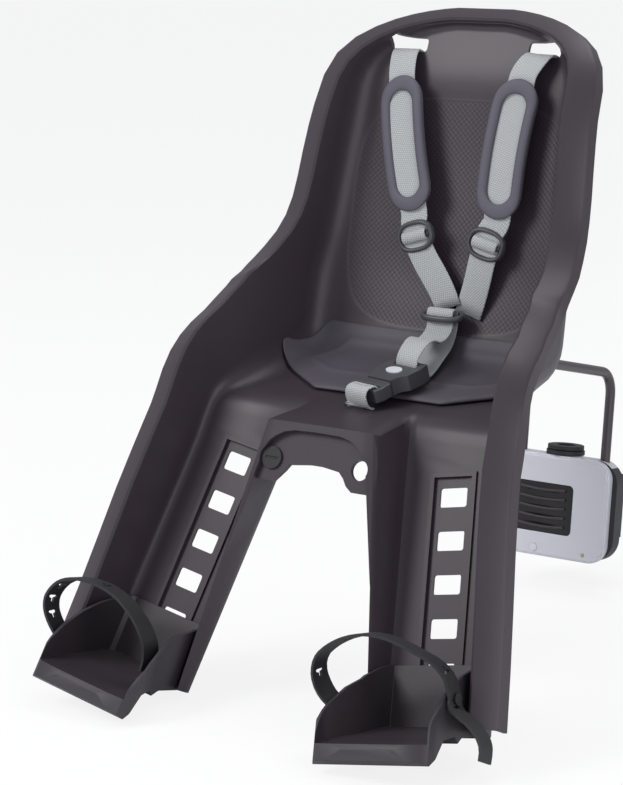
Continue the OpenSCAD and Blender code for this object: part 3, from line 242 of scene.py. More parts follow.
def mix_colour(tree, factor, a, b):
    node = tree.nodes.new("ShaderNodeMix")
    node.data_type = "RGBA"
    for i, v in ((0, factor), (6, a), (7, b)):
        if isinstance(v, (int, float, tuple)):
            node.inputs[i].default_value = v
        else:
            tree.links.new(v, node.inputs[i])
    return node.outputs[2]


def grain_group():
    tree, into, out = new_group(
        "moulded_grain",
        [("Vector", "v", (0, 0, 0)), ("Grain per metre", "f", 900.0),
         ("Colour", "c", (0.05, 0.05, 0.05, 1)), ("Colour change", "f", 0.12),
         ("Roughness", "f", 0.5)],
        [("Colour", "c"), ("Height", "f"), ("Roughness", "f")])
    cells = tree.nodes.new("ShaderNodeTexVoronoi")
    cells.feature = "SMOOTH_F1"
    cells.inputs["Smoothness"].default_value = 0.6
    slow = tree.nodes.new("ShaderNodeTexNoise")
    slow.inputs["Scale"].default_value = 14.0
    slow.inputs["Detail"].default_value = 4.0
    fine = tree.nodes.new("ShaderNodeTexNoise")
    fine.inputs["Detail"].default_value = 3.0
    for node in (cells, slow, fine):
        tree.links.new(into.outputs["Vector"], node.inputs["Vector"])
    tree.links.new(into.outputs["Grain per metre"], cells.inputs["Scale"])
    tree.links.new(math_node(tree, "MULTIPLY", into.outputs["Grain per metre"], 0.6),
                   fine.inputs["Scale"])
    height = math_node(tree, "ADD", math_node(tree, "MULTIPLY", cells.outputs["Distance"], 0.7),
                       math_node(tree, "MULTIPLY", fine.outputs["Fac"], 0.5))
    off = math_node(tree, "SUBTRACT", slow.outputs["Fac"], 0.5)
    swing = math_node(tree, "MULTIPLY", off, into.outputs["Colour change"])
    lighter = tree.nodes.new("ShaderNodeHueSaturation")
    tree.links.new(into.outputs["Colour"], lighter.inputs["Color"])
    tree.links.new(math_node(tree, "ADD", swing, 1.0), lighter.inputs["Value"])
    rough = math_node(tree, "ADD", into.outputs["Roughness"], math_node(tree, "MULTIPLY", swing, 0.6))
    link_nodes(tree, [(lighter.outputs["Color"], out.inputs["Colour"]),
                      (height, out.inputs["Height"]), (rough, out.inputs["Roughness"])])
    return tree


def weave_group():
    tree, into, out = new_group(
        "weave",
        [("Vector", "v", (0, 0, 0)), ("Threads across", "f", 700.0), ("Threads along", "f", 500.0),
         ("Thread", "c", (0.5, 0.5, 0.5, 1)), ("Shadow", "c", (0.2, 0.2, 0.2, 1))],
        [("Colour", "c"), ("Height", "f")])
    parts = tree.nodes.new("ShaderNodeSeparateXYZ")
    tree.links.new(into.outputs["Vector"], parts.inputs[0])
    slant = math_node(tree, "ADD", parts.outputs[0],
                      math_node(tree, "MULTIPLY", parts.outputs[1], 0.6))
    back = math_node(tree, "SUBTRACT", parts.outputs[1],
                     math_node(tree, "MULTIPLY", parts.outputs[0], 0.25))
    u = math_node(tree, "MULTIPLY", slant, into.outputs["Threads across"])
    v = math_node(tree, "MULTIPLY", back, into.outputs["Threads along"])
    su = math_node(tree, "SINE", math_node(tree, "MULTIPLY", u, math.pi))
    sv = math_node(tree, "SINE", math_node(tree, "MULTIPLY", v, math.pi))
    both = math_node(tree, "MULTIPLY", su, sv)
    height = math_node(tree, "ABSOLUTE", both)
    noise = tree.nodes.new("ShaderNodeTexNoise")
    noise.inputs["Scale"].default_value = 900.0
    tree.links.new(into.outputs["Vector"], noise.inputs["Vector"])
    level = math_node(tree, "ADD", math_node(tree, "MULTIPLY", height, 0.75),
                      math_node(tree, "MULTIPLY", noise.outputs["Fac"], 0.35))
    colour = mix_colour(tree, level, into.outputs["Shadow"], into.outputs["Thread"])
    link_nodes(tree, [(colour, out.inputs["Colour"]), (height, out.inputs["Height"])])
    return tree


GRAIN = grain_group()
WEAVE = weave_group()
print("shader groups:", GRAIN.name, WEAVE.name)

# %% [markdown]
# ## Shader group for the hatched back
# The middle of the back has a fine crossed texture inside a rounded square, edged by a
# shallow step. A superellipse on Object coordinates gives the zone, and two crossed waves
# give the texture, so both stay put when the seat is seen from elsewhere.

# %% Hatch group


def hatch_group():
    tree, into, out = new_group(
        "crossed_hatch",
        [("Vector", "v", (0, 0, 0)), ("Facing", "v", (0, 0, 0)), ("Half width", "f", 0.1),
         ("Half height", "f", 0.1), ("Centre height", "f", 0.3), ("Behind", "f", -0.4),
         ("Lines per metre", "f", 330.0)],
        [("Zone", "f"), ("Edge", "f"), ("Lines", "f")])
    parts = tree.nodes.new("ShaderNodeSeparateXYZ")
    tree.links.new(into.outputs["Vector"], parts.inputs[0])
    u = math_node(tree, "DIVIDE", parts.outputs[0], into.outputs["Half width"])
    lift = math_node(tree, "SUBTRACT", parts.outputs[2], into.outputs["Centre height"])
    v = math_node(tree, "DIVIDE", lift, into.outputs["Half height"])
    u4 = math_node(tree, "POWER", math_node(tree, "ABSOLUTE", u), 4.0)
    v4 = math_node(tree, "POWER", math_node(tree, "ABSOLUTE", v), 4.0)
    far = math_node(tree, "POWER", math_node(tree, "ADD", u4, v4), 0.25)
    fade = math_node(tree, "MULTIPLY", math_node(tree, "SUBTRACT", 1.0, far), 60.0)
    inside = math_node(tree, "MINIMUM", math_node(tree, "MAXIMUM", fade, 0.0), 1.0)
    facing = tree.nodes.new("ShaderNodeSeparateXYZ")
    tree.links.new(into.outputs["Facing"], facing.inputs[0])
    behind = math_node(tree, "GREATER_THAN", parts.outputs[1], into.outputs["Behind"])
    turned = math_node(tree, "LESS_THAN", facing.outputs[1], -0.3)
    front = math_node(tree, "MULTIPLY", behind, turned)
    zone = math_node(tree, "MULTIPLY", inside, front)
    off_edge = math_node(tree, "ABSOLUTE", math_node(tree, "SUBTRACT", far, 1.0))
    ring = math_node(tree, "MULTIPLY", off_edge, 55.0)
    band = math_node(tree, "MAXIMUM", math_node(tree, "SUBTRACT", 1.0, ring), 0.0)
    edge = math_node(tree, "MULTIPLY", band, front)
    pitch = math_node(tree, "MULTIPLY", into.outputs["Lines per metre"], 2 * math.pi)
    waves = [math_node(tree, "SINE", math_node(tree, "MULTIPLY", parts.outputs[k], pitch))
             for k in (0, 2)]
    lines = math_node(tree, "MULTIPLY", math_node(tree, "MULTIPLY", waves[0], waves[1]), zone)
    link_nodes(tree, [(zone, out.inputs["Zone"]), (edge, out.inputs["Edge"]),
                      (lines, out.inputs["Lines"])])
    return tree


HATCH = hatch_group()
print("hatch group:", HATCH.name)

# %% [markdown]
# ## Materials
# Each finish of the real seat gets one material: the sprayed charcoal shell, slate
# cushions, grey webbing, black rubber, the buckle's smooth plastic, and painted metal.

# %% Materials


def plastic(name, colour, rough=0.5, grain=900.0, bump=0.12, change=0.12, coat=0.0, metal=0.0):
    mat = bpy.data.materials.new(name)
    mat.use_nodes = True
    tree = mat.node_tree
    bsdf = tree.nodes["Principled BSDF"]
    coords = tree.nodes.new("ShaderNodeTexCoord")
    group = tree.nodes.new("ShaderNodeGroup")
    group.node_tree = GRAIN
    group.inputs["Grain per metre"].default_value = grain
    group.inputs["Colour"].default_value = (*colour, 1.0)
    group.inputs["Colour change"].default_value = change
    group.inputs["Roughness"].default_value = rough
    dent = tree.nodes.new("ShaderNodeBump")
    dent.inputs["Strength"].default_value = bump
    dent.inputs["Distance"].default_value = 0.0006
    link_nodes(tree, [(coords.outputs["Object"], group.inputs["Vector"]),
                      (group.outputs["Colour"], bsdf.inputs["Base Color"]),
                      (group.outputs["Roughness"], bsdf.inputs["Roughness"]),
                      (group.outputs["Height"], dent.inputs["Height"]),
                      (dent.outputs["Normal"], bsdf.inputs["Normal"])])
    bsdf.inputs["Coat Weight"].default_value = coat
    bsdf.inputs["Coat Roughness"].default_value = 0.25
    bsdf.inputs["Metallic"].default_value = metal
    return mat


def fabric(name, thread, shadow, across, along, bump, sheen=0.15):
    mat = bpy.data.materials.new(name)
    mat.use_nodes = True
    tree = mat.node_tree
    bsdf = tree.nodes["Principled BSDF"]
    texco = tree.nodes.new("ShaderNodeTexCoord")
    group = tree.nodes.new("ShaderNodeGroup")
    group.node_tree = WEAVE
    group.inputs["Threads across"].default_value = across
    group.inputs["Threads along"].default_value = along
    group.inputs["Thread"].default_value = (*thread, 1.0)
    group.inputs["Shadow"].default_value = (*shadow, 1.0)
    dent = tree.nodes.new("ShaderNodeBump")
    dent.inputs["Strength"].default_value = bump
    dent.inputs["Distance"].default_value = 0.0005
    link_nodes(tree, [(texco.outputs["UV"], group.inputs["Vector"]),
                      (group.outputs["Colour"], bsdf.inputs["Base Color"]),
                      (group.outputs["Height"], dent.inputs["Height"]),
                      (dent.outputs["Normal"], bsdf.inputs["Normal"])])
    bsdf.inputs["Roughness"].default_value = 0.85
    bsdf.inputs["Sheen Weight"].default_value = sheen
    return mat


MATS = {
    "pad": plastic("slate_pad_skin", (0.070, 0.062, 0.080), 0.60, 1500, 0.25),
    "shoulder": plastic("slate_shoulder_skin", (0.082, 0.076, 0.100), 0.6, 1500, 0.25),
    "webbing": fabric("grey_webbing", (0.54, 0.555, 0.57), (0.24, 0.25, 0.26), 420, 520, 0.45),
    "buckle": plastic("buckle_grey", (0.060, 0.060, 0.068), 0.42, 1600, 0.08),
    "thread": plastic("grey_thread", (0.40, 0.41, 0.43), 0.7, 2000, 0.1),
    "white": plastic("white_button", (0.66, 0.65, 0.70), 0.3, 600, 0.02, 0.03),
    "rubber": plastic("black_rubber", (0.014, 0.014, 0.016), 0.62, 1200, 0.15),
    "wire": plastic("wire_paint", (0.050, 0.038, 0.044), 0.36, 1400, 0.06, 0.1, 0.2),
    "block_dark": plastic("block_charcoal", (0.026, 0.024, 0.029), 0.55, 1200, 0.2),
    "silver": plastic("block_silver", (0.64, 0.64, 0.70), 0.36, 1800, 0.06, 0.05, 0.3, 0.2),
    "black": plastic("button_black", (0.007, 0.005, 0.007), 0.5, 1400, 0.1),
    "zinc": plastic("zinc_plate", (0.52, 0.52, 0.54), 0.34, 1500, 0.08, 0.1, 0.0, 0.9),
    "green": plastic("indicator_green", (0.30, 0.42, 0.20), 0.3, 500, 0.02, 0.03),
    "rib": plastic("rib_charcoal", (0.030, 0.024, 0.028), 0.5, 1400, 0.1),
}


def hatched_shell():
    """The shell's plastic with the crossed texture in the middle of its back, and painted highlights on
    the texture's lines and on the step round it.
    """
    mat = plastic("charcoal_shell", (0.041, 0.030, 0.040), 0.44, 1100, 0.14, coat=0.06)
    tree = mat.node_tree
    bsdf = tree.nodes["Principled BSDF"]
    bsdf.inputs["Specular IOR Level"].default_value = 0.36
    grain = next(n for n in tree.nodes if n.type == "GROUP")
    dent = next(n for n in tree.nodes if n.type == "BUMP")
    coords = next(n for n in tree.nodes if n.type == "TEX_COORD")
    hatch = tree.nodes.new("ShaderNodeGroup")
    hatch.node_tree = HATCH
    for name, value in (("Half width", 0.107), ("Half height", 0.102), ("Centre height", 0.3168),
                        ("Behind", BACK_FACE), ("Lines per metre", 200.0)):
        hatch.inputs[name].default_value = value
    tree.links.new(coords.outputs["Object"], hatch.inputs["Vector"])
    tree.links.new(coords.outputs["Normal"], hatch.inputs["Facing"])
    # Painted highlight: the crossed lines and the band along the step round the zone get a lighter
    # colour, painted where light would catch their relief.
    painted_edge_highlight = math_node(tree, "MULTIPLY", hatch.outputs["Edge"], 0.45)
    painted_highlight_amount = math_node(tree, "MULTIPLY_ADD", hatch.outputs["Lines"], 0.42, painted_edge_highlight)
    painted_highlight_colour = mix_colour(tree, painted_highlight_amount, grain.outputs["Colour"], (0.078, 0.066, 0.080, 1.0))
    tree.links.new(painted_highlight_colour, bsdf.inputs["Base Color"])
    step = math_node(tree, "MULTIPLY", hatch.outputs["Zone"], -1.6)
    relief = math_node(tree, "MULTIPLY_ADD", hatch.outputs["Lines"], 0.9, step)
    tree.links.new(math_node(tree, "ADD", grain.outputs["Height"], relief), dent.inputs["Height"])
    return mat


def silver_topped():
    """The block housing's dark plastic, with the silver panel on its upper face."""
    mat = plastic("housing_charcoal", (0.026, 0.024, 0.029), 0.5, 1200, 0.2)
    tree = mat.node_tree
    coords = next(n for n in tree.nodes if n.type == "TEX_COORD")
    grain = next(n for n in tree.nodes if n.type == "GROUP")
    facing, place = (tree.nodes.new("ShaderNodeSeparateXYZ") for _ in range(2))
    tree.links.new(coords.outputs["Normal"], facing.inputs[0])
    tree.links.new(coords.outputs["Object"], place.inputs[0])
    lowest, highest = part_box("block_housing")
    upper = math_node(tree, "MULTIPLY", math_node(tree, "GREATER_THAN", facing.outputs[2], 0.72),
                      math_node(tree, "GREATER_THAN", place.outputs[2], highest[2] - 0.022))
    panel = math_node(tree, "MULTIPLY", upper,
                      math_node(tree, "GREATER_THAN", place.outputs[1], lowest[1] + 0.0035))
    colour = mix_colour(tree, panel, grain.outputs["Colour"], (0.56, 0.56, 0.61, 1.0))
    tree.links.new(colour, tree.nodes["Principled BSDF"].inputs["Base Color"])
    return mat


BACK_FACE = seat(0, 100, 0)[1]
MATS["housing"] = silver_topped()
MATS["shell"] = plastic("footrest_shell", (0.031, 0.025, 0.031), 0.46, 1100, 0.16)
MATS["back"] = hatched_shell()
FINISH = {
    "pad_fabric": "pad", "shoulder_fabric": "shoulder", "webbing": "webbing", "buckle": "buckle",
    "button_white": "white", "rubber": "rubber", "wire_steel": "wire", "block_dark": "block_dark",
    "block_silver": "silver", "button_black": "black", "zinc": "zinc", "indicator_green": "green",
    "shell": "shell",
}
for part in frame["record"]["subparts"]:
    obj = nodes[part["node"]]
    mat = MATS[FINISH[part["material_slot"]]]
    if not obj.material_slots:
        obj.data.materials.append(mat)
    for slot in obj.material_slots:
        slot.material = mat
print("materials:", len(MATS))

# %% [markdown]
# ## Moulded pieces
# Injection moulded plastic has no knife edges: every edge carries a small round that
# catches the light. A copy of each rigid CAD solid is welded, its flat faces are joined
# again, and a Bevel modifier rounds the sharp edges. The CAD node itself stays untouched.

# %% Helpers for meshes


def body_with(node):
    """The CAD body that a node rides on."""
    for body, names in frame["record"]["behaviour"]["bodies"].items():
        names = names if isinstance(names, list) else names.get("nodes", [])
        if node in names:
            return body
    return "root"


def new_object(name, bm, material):
    mesh = bpy.data.meshes.new(name)
    bm.to_mesh(mesh)
    bm.free()
    obj = bpy.data.objects.new(name, mesh)
    bpy.context.scene.collection.objects.link(obj)
    mesh.materials.append(material)
    return obj


def welded(node, flat=True):
    """A bmesh of a CAD node with its loose triangles joined."""
    bm = bmesh.new()
    bm.from_mesh(nodes[node].data)
    bmesh.ops.remove_doubles(bm, verts=bm.verts, dist=2e-5)
    bmesh.ops.dissolve_degenerate(bm, dist=1e-6, edges=bm.edges)
    if flat:
        bmesh.ops.dissolve_limit(bm, angle_limit=math.radians(0.6), verts=bm.verts, edges=bm.edges)
    return bm


def smooth_by_angle(bm, degrees):
    for face in bm.faces:
        face.smooth = True
    for edge in bm.edges:
        sharp = len(edge.link_faces) != 2 or edge.calc_face_angle(0.0) > math.radians(degrees)
        edge.smooth = not sharp


EDGE_ANGLE = 32.0


def moulded(node, material, edge):
    """A rounded stand-in for a rigid CAD node."""
    bm = welded(node)
    smooth_by_angle(bm, EDGE_ANGLE)
    obj = new_object("moulded_" + node, bm, material)
    round_off = obj.modifiers.new("edge", "BEVEL")
    round_off.width, round_off.segments = edge, 2
    round_off.limit_method, round_off.angle_limit = "ANGLE", math.radians(EDGE_ANGLE)
    round_off.use_clamp_overlap = True
    round_off.harden_normals = True
    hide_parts(node)
    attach(obj, body_with(node))


PLAIN = {
    "footrest_left": ("shell", 0.0011), "footrest_right": ("shell", 0.0011),
    "block_housing": ("housing", 0.0012), "block_cover": ("silver", 0.0008),
    "release_button": ("black", 0.0006), "cover_screw_cap": ("white", 0.0006),
    "tube_collar": ("rubber", 0.0006), "clamp_back": ("block_dark", 0.0012),
    "saddle_front": ("rubber", 0.0008), "saddle_rear": ("rubber", 0.0008),
    "strap_keeper_left": ("rubber", 0.0008), "strap_keeper_right": ("rubber", 0.0008),
    "apron_cap": ("rubber", 0.0006), "crotch_anchor": ("rubber", 0.0008),
    "strap_rivets_left": ("rubber", 0.0005), "strap_rivets_right": ("rubber", 0.0005),
    "foot_strap_left": ("rubber", 0.0004), "foot_strap_right": ("rubber", 0.0004),
    "clamp_bolts": ("zinc", 0.0004), "clamp_nuts": ("zinc", 0.0003),
    "saddle_screws": ("zinc", 0.0004),
}
for node, (finish, edge) in PLAIN.items():
    moulded(node, MATS[finish], edge)
print("moulded pieces:", len(PLAIN))

# %% [markdown]
# ## The shell
# The shell is one large moulding. Its CAD mesh is welded and shaded smooth, with hard
# shading kept only where two faces really meet at an edge.

# %% Shell
bm = welded("seat_shell", flat=False)
smooth_by_angle(bm, 34.0)
shell = new_object("shell_moulding", bm, MATS["back"])
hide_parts("seat_shell")
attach(shell, body_with("seat_shell"))
wire_bm = welded("carrier_wire", flat=False)
smooth_by_angle(wire_bm, 50.0)
wire = new_object("carrier_bow", wire_bm, MATS["wire"])
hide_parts("carrier_wire")
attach(wire, body_with("carrier_wire"))
print("shell faces:", len(shell.data.polygons), "wire faces:", len(wire.data.polygons))

# %% [markdown]
# ## Webbing
# A strap is a flat ribbon with round selvedges. The ribbon is swept along the same points
# that the CAD solid follows. Its UV map is in metres, so that the weave keeps its size on
# every strap, and its seams run along the ribbon instead of through space.

# %% Webbing helpers


def cut_corners(path):
    """Rounds a path of (centre, width direction) by cutting its corners once."""
    out = [path[0]]
    last = len(path) - 2
    for i in range(len(path) - 1):
        for f in ((0.7,) if i == 0 else (0.3,) if i == last else (0.27, 0.73)):
            out.append((path[i][0].lerp(path[i + 1][0], f), path[i][1].lerp(path[i + 1][1], f)))
    return out + [path[-1]]


def ribbon(name, path, width, thick, material, rounds=2):
    """A closed ribbon with rounded selvedges and a UV map in metres."""
    for _ in range(rounds):
        path = cut_corners(path)
    half, t = width / 2.0, thick / 2.0
    ring = [(-half, 0.0), (-half + 0.5 * t, 0.8 * t), (-half + 1.4 * t, t), (-half * 0.4, t),
            (half * 0.4, t), (half - 1.4 * t, t), (half - 0.5 * t, 0.8 * t), (half, 0.0),
            (half - 0.5 * t, -0.8 * t), (half - 1.4 * t, -t), (half * 0.4, -t), (-half * 0.4, -t),
            (-half + 1.4 * t, -t), (-half + 0.5 * t, -0.8 * t)]
    bm = bmesh.new()
    uv = bm.loops.layers.uv.new("UVMap")
    rows, along = [], [0.0]
    for i, (centre, across) in enumerate(path):
        a = path[max(i - 1, 0)][0]
        b = path[min(i + 1, len(path) - 1)][0]
        forward = (b - a).normalized()
        side = across.normalized()
        side = (side - side.dot(forward) * forward).normalized()
        up = side.cross(forward)
        rows.append([bm.verts.new(centre + side * p + up * q) for p, q in ring])
        if i:
            along.append(along[-1] + (centre - path[i - 1][0]).length)
    n = len(ring)
    for i in range(len(rows) - 1):
        for k in range(n):
            j = (k + 1) % n
            face = bm.faces.new((rows[i][k], rows[i][j], rows[i + 1][j], rows[i + 1][k]))
            face.smooth = True
            for loop, (p, v) in zip(face.loops, ((k, i), (k + 1, i), (k + 1, i + 1), (k, i + 1))):
                x = ring[p % n][0]
                loop[uv].uv = (x, along[v])
    for row in (rows[0], rows[-1]):
        bm.faces.new(row)
    bmesh.ops.recalc_face_normals(bm, faces=bm.faces)
    return new_object(name, bm, material)


WEB = 0.027
WEB_T = 0.0016
PAD_LEN = 126.0
BOW = -4.3
PAD_TOP = [seat(-65.8, 154, 268), seat(59.6, 154, 268)]
PAD_LOW = [seat(-32.3, 124, 141.5), seat(52.5, 124.6, 142.5)]
ADJUST = [seat(-28.6, 120.6, 124), seat(44, 121, 122)]
ADJUST_UP = [Vector((-0.3, 0.06, 1)).normalized(), Vector((0.25, 0.1, 1)).normalized()]


def bow(z):
    """Sideways bow of a shoulder pad at a height above its middle, in millimetres."""
    return BOW * (1 - min(1, abs(2 * z) / PAD_LEN) ** 2)


def shoulder_path(i):
    k = -1 if i == 0 else 1
    a, b = PAD_LOW[i], PAD_TOP[i]
    d = (b - a).normalized()
    path = [(seat(k * 69.8, 176.71, 256.84), X), (seat(k * 69.8, 181.08, 272.58), X),
            (seat(k * 69.8, 182.21, 281.03), X), (seat(k * 69.8, 176.1, 285.66), X),
            (seat(k * 69.45, 166.08, 287.55), X)]
    for f in (0.56, 0.45, 0.22, 0, -0.22, -0.45, -0.53):
        z = f * PAD_LEN
        off = Vector((bow(z), 1 if f > 0.5 else 0, 0))
        path.append(((a + b) / 2 + d * (z / 1000) + off / 1000, X))
    path += [(ADJUST[i] + 0.012 * ADJUST_UP[i], X), (ADJUST[i] - 0.012 * ADJUST_UP[i], X)]
    if i == 0:
        path += [(seat(2, 115, 80), X), (seat(9.4, 115, 62.4), X)]
    else:
        path += [(seat(36, 117.4, 82), X), (seat(28.5, 116.8, 58), X)]
    return path


def strap_made(obj, node):
    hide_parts(node)
    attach(obj, body_with(node))
    print(obj.name, "faces", len(obj.data.polygons))


for i, side in enumerate(("left", "right")):
    strap_made(ribbon("shoulder_web_" + side, shoulder_path(i), WEB, WEB_T, MATS["webbing"]),
               "shoulder_strap_" + side)

# %% [markdown]
# ## Waist and crotch straps
# The waist strap is one loop: it leaves the buckle, swings up in an S to the tie and comes
# back behind itself. The crotch strap shows only as a short loop round the buckle's tongue.

# %% Waist and crotch straps
BUCKLE_TURN = (Matrix.Rotation(math.radians(-16.6), 3, "Z")
               @ Matrix.Rotation(math.radians(15), 3, "X"))
TIE_LEAN = math.radians(14)


def at_buckle(x, y, z):
    v = BUCKLE_TURN @ Vector((x, y, z))
    return seat(11 + v[0], 8 + v[1], 12.6 + v[2])


def at_tie(x, y, z):
    c, s = math.cos(TIE_LEAN), math.sin(TIE_LEAN)
    return seat(10.4 + x, 104 + y * c + z * s, 55 + y * s - z * c)


BX = BUCKLE_TURN @ X
waist = [(at_buckle(0, 26, -4), BX), (at_buckle(0, 26, 9.5), BX), (seat(19, 39, 40), BX),
         (seat(17, 58, 45), BX), (seat(12, 78, 38), X), (seat(10.4, 94, 42), X),
         (at_tie(0, -4.7, 4), X), (at_tie(0, -5, -9), X), (at_tie(0, 5, -9), X), (at_tie(0, 4.7, 4), X),
         (seat(11, 100, 32), X), (seat(15, 76, 22.5), BX), (at_buckle(0, 38, -8.6), BX),
         (at_buckle(0, 30, -9.2), BX)]
strap_made(ribbon("waist_web", waist, WEB, WEB_T, MATS["webbing"], 3), "waist_strap")
crotch = [(seat(0, -14, -19), X), (seat(0, -14, -10), X), (seat(1.5, -17, -4.5), X),
          (at_buckle(0, -33, -8), BX), (at_buckle(0, -35.2, 0), BX), (at_buckle(0, -33, 7.6), BX),
          (at_buckle(0, -26, 8.6), BX), (at_buckle(0, -19.5, 7), BX), (at_buckle(0, -18.9, -3), BX)]
strap_made(ribbon("crotch_web", crotch, WEB, WEB_T, MATS["webbing"], 3), "crotch_strap")

# %% [markdown]
# ## Soft pads
# The seat mat and the two shoulder cushions are moulded foam. Each starts as an even mesh
# of its own, a little thin, and a short cloth simulation with air pressure swells it. How
# far a point may move is capped, so that the foam stays crisp and clear of the shell.

# %% Soft pad helpers


def bake_modifiers(obj):
    """Turns an object's modifiers into its plain mesh."""
    graph = bpy.context.evaluated_depsgraph_get()
    mesh = bpy.data.meshes.new_from_object(obj.evaluated_get(graph))
    old = obj.data
    obj.modifiers.clear()
    obj.data = mesh
    bpy.data.meshes.remove(old)


def coords(mesh):
    co = np.empty(len(mesh.vertices) * 3)
    mesh.vertices.foreach_get("co", co)
    return co.reshape(-1, 3)


def swell(obj, cap):
    """Inflates a closed mesh by cloth pressure; no point moves further than cap."""
    start = coords(obj.data)
    cloth = obj.modifiers.new("air", "CLOTH")
    cloth.settings.use_pressure = True
    cloth.settings.uniform_pressure_force = 4.0
    cloth.settings.effector_weights.gravity = 0.0
    for frame_no in range(1, 21):
        bpy.context.scene.frame_set(frame_no)
    bake_modifiers(obj)
    bpy.context.scene.frame_set(1)
    move = coords(obj.data) - start
    size = np.linalg.norm(move, axis=1, keepdims=True)
    move *= np.minimum(1.0, cap / np.maximum(size, 1e-9))
    print(obj.name, "swelled by up to", round(float(min(cap, size.max())) * 1000, 2), "mm")
    obj.data.vertices.foreach_set("co", (start + move).reshape(-1))
    finer = obj.modifiers.new("finer", "SUBSURF")
    finer.levels = finer.render_levels = 1
    bake_modifiers(obj)
    for face in obj.data.polygons:
        face.use_smooth = True


def polygon_gap(points, corners):
    """Distance of each (x, y) from the nearest side of a closed polygon."""
    best = np.full(len(points), 1e9)
    for a, b in zip(corners, corners[1:] + corners[:1]):
        a, b = np.array(a), np.array(b)
        t = np.clip(((points - a) @ (b - a)) / ((b - a) @ (b - a)), 0, 1)
        best = np.minimum(best, np.linalg.norm(points - (a + t[:, None] * (b - a)), axis=1))
    return best


# %% [markdown]
# ## Seat mat
# The mat follows the pan and climbs its sides, so its lower face is found by dropping rays
# onto the shell. A soft six-sided ridge runs round its middle, as on the real one.

# %% Seat mat
MAT_ROWS = [(9.4, 62), (11.5, 67), (24, 85), (38, 105), (50, 121), (58, 130), (64, 133.5),
            (72, 133), (84, 129.5), (94, 126.5), (104, 123), (112, 119.5), (117, 115), (119, 108)]
MAT_CLEAR, MAT_MIDDLE = 0.8, 2.0
RAY_FROM = 50
CROWD = 0.93
RIDGE = [(-104, 68), (-73, 47), (73, 47), (104, 68), (88, 106), (-88, 106)]
PAN_SLOPE = math.radians(10.6)
PAN_UP = Vector((0, -math.sin(PAN_SLOPE), math.cos(PAN_SLOPE)))
PAN_BACK = Vector((0, math.cos(PAN_SLOPE), math.sin(PAN_SLOPE)))


def seat_mat():
    tree = BVHTree.FromObject(shell, bpy.context.evaluated_depsgraph_get())
    stations = np.linspace(MAT_ROWS[0][0], MAT_ROWS[-1][0], 41)
    widths = np.interp(stations, [r[0] for r in MAT_ROWS], [r[1] for r in MAT_ROWS])
    columns = np.sin(np.linspace(-math.pi / 2, math.pi / 2, 71) * CROWD)
    columns = columns / math.sin(math.pi / 2 * CROWD)
    plan = np.array([[(c * w, st) for c in columns] for st, w in zip(stations, widths)])
    floor_h = np.zeros(plan.shape[:2])
    for i in range(plan.shape[0]):
        for j in range(plan.shape[1]):
            x, st = plan[i, j]
            base = seat(x, 0, 0) + PAN_BACK * (st / 1000)
            hit = tree.ray_cast(base + PAN_UP * (RAY_FROM / 1000), -PAN_UP, 0.09)
            floor_h[i, j] = RAY_FROM - hit[3] * 1000 if hit[0] is not None else np.nan
    floor_h = np.where(np.isnan(floor_h), np.nanmedian(floor_h), floor_h)
    for _ in range(3):
        wide = np.pad(floor_h, 1, mode="edge")
        mean = (wide[:-2, 1:-1] + wide[2:, 1:-1] + wide[1:-1, :-2] + wide[1:-1, 2:]) / 4
        floor_h = np.maximum(floor_h, mean)
    outline = [(w, st) for st, w in MAT_ROWS] + [(-w, st) for st, w in reversed(MAT_ROWS)]
    edge = polygon_gap(plan.reshape(-1, 2), outline).reshape(floor_h.shape)
    ridge = polygon_gap(plan.reshape(-1, 2), RIDGE).reshape(floor_h.shape)
    round_in = np.sqrt(1 - (1 - np.clip(edge / 3.2, 0, 1)) ** 2)
    top = MAT_CLEAR + MAT_MIDDLE + round_in * 2.3 + 1.5 * np.exp(-(ridge / 3.6) ** 2)
    low = MAT_CLEAR + MAT_MIDDLE - round_in * 1.8
    bm = bmesh.new()
    grids = []
    for height in (top, low):
        grids.append([[bm.verts.new(seat(plan[i, j, 0], 0, 0) + PAN_BACK * (plan[i, j, 1] / 1000)
                                    + PAN_UP * ((floor_h[i, j] + height[i, j]) / 1000))
                       for j in range(plan.shape[1])] for i in range(plan.shape[0])])
    for grid, flip in zip(grids, (False, True)):
        for i in range(plan.shape[0] - 1):
            for j in range(plan.shape[1] - 1):
                q = (grid[i][j], grid[i][j + 1], grid[i + 1][j + 1], grid[i + 1][j])
                bm.faces.new(q[::-1] if flip else q)
    bmesh.ops.remove_doubles(bm, verts=bm.verts, dist=1e-6)
    rim = [e for e in bm.edges if e.is_boundary]
    bmesh.ops.bridge_loops(bm, edges=rim)
    bmesh.ops.recalc_face_normals(bm, faces=bm.faces)
    return new_object("seat_mat", bm, MATS["pad"])


pad = seat_mat()
swell(pad, 0.0004)
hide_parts("seat_pad")
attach(pad, body_with("seat_pad"))
print("seat mat faces:", len(pad.data.polygons))

# %% [markdown]
# ## Shoulder cushions
# Each cushion is a foam ring with round ends round a window that shows the strap. A rounded
# section is swept between the outer outline and the window. At its ends the ring thins,
# because the strap passes behind it there, and a thin back closes it behind the strap.

# %% Shoulder cushions


def round_ended(w, length, steps=12):
    """Points of a round-ended outline in millimetres, as many on any size."""
    r = w / 2
    h = length / 2 - r
    turn = [(math.cos(math.pi * k / steps), math.sin(math.pi * k / steps)) for k in range(steps)]
    pts = [(r, h * (2 * k / steps - 1)) for k in range(steps)]
    pts += [(r * c, h + r * s) for c, s in turn]
    pts += [(-r, h * (1 - 2 * k / steps)) for k in range(steps)]
    pts += [(-r * c, -h - r * s) for c, s in turn]
    return [(x + bow(z), z) for x, z in pts]


def frame_at(origin, z_dir, facing=Vector((0, -1, 0))):
    """A matrix whose z is z_dir and whose y points away from the child."""
    z = z_dir.normalized()
    x = (-facing).cross(z).normalized()
    y = z.cross(x)
    turn = Matrix((x, y, z)).transposed().to_4x4()
    return Matrix.Translation(origin) @ turn


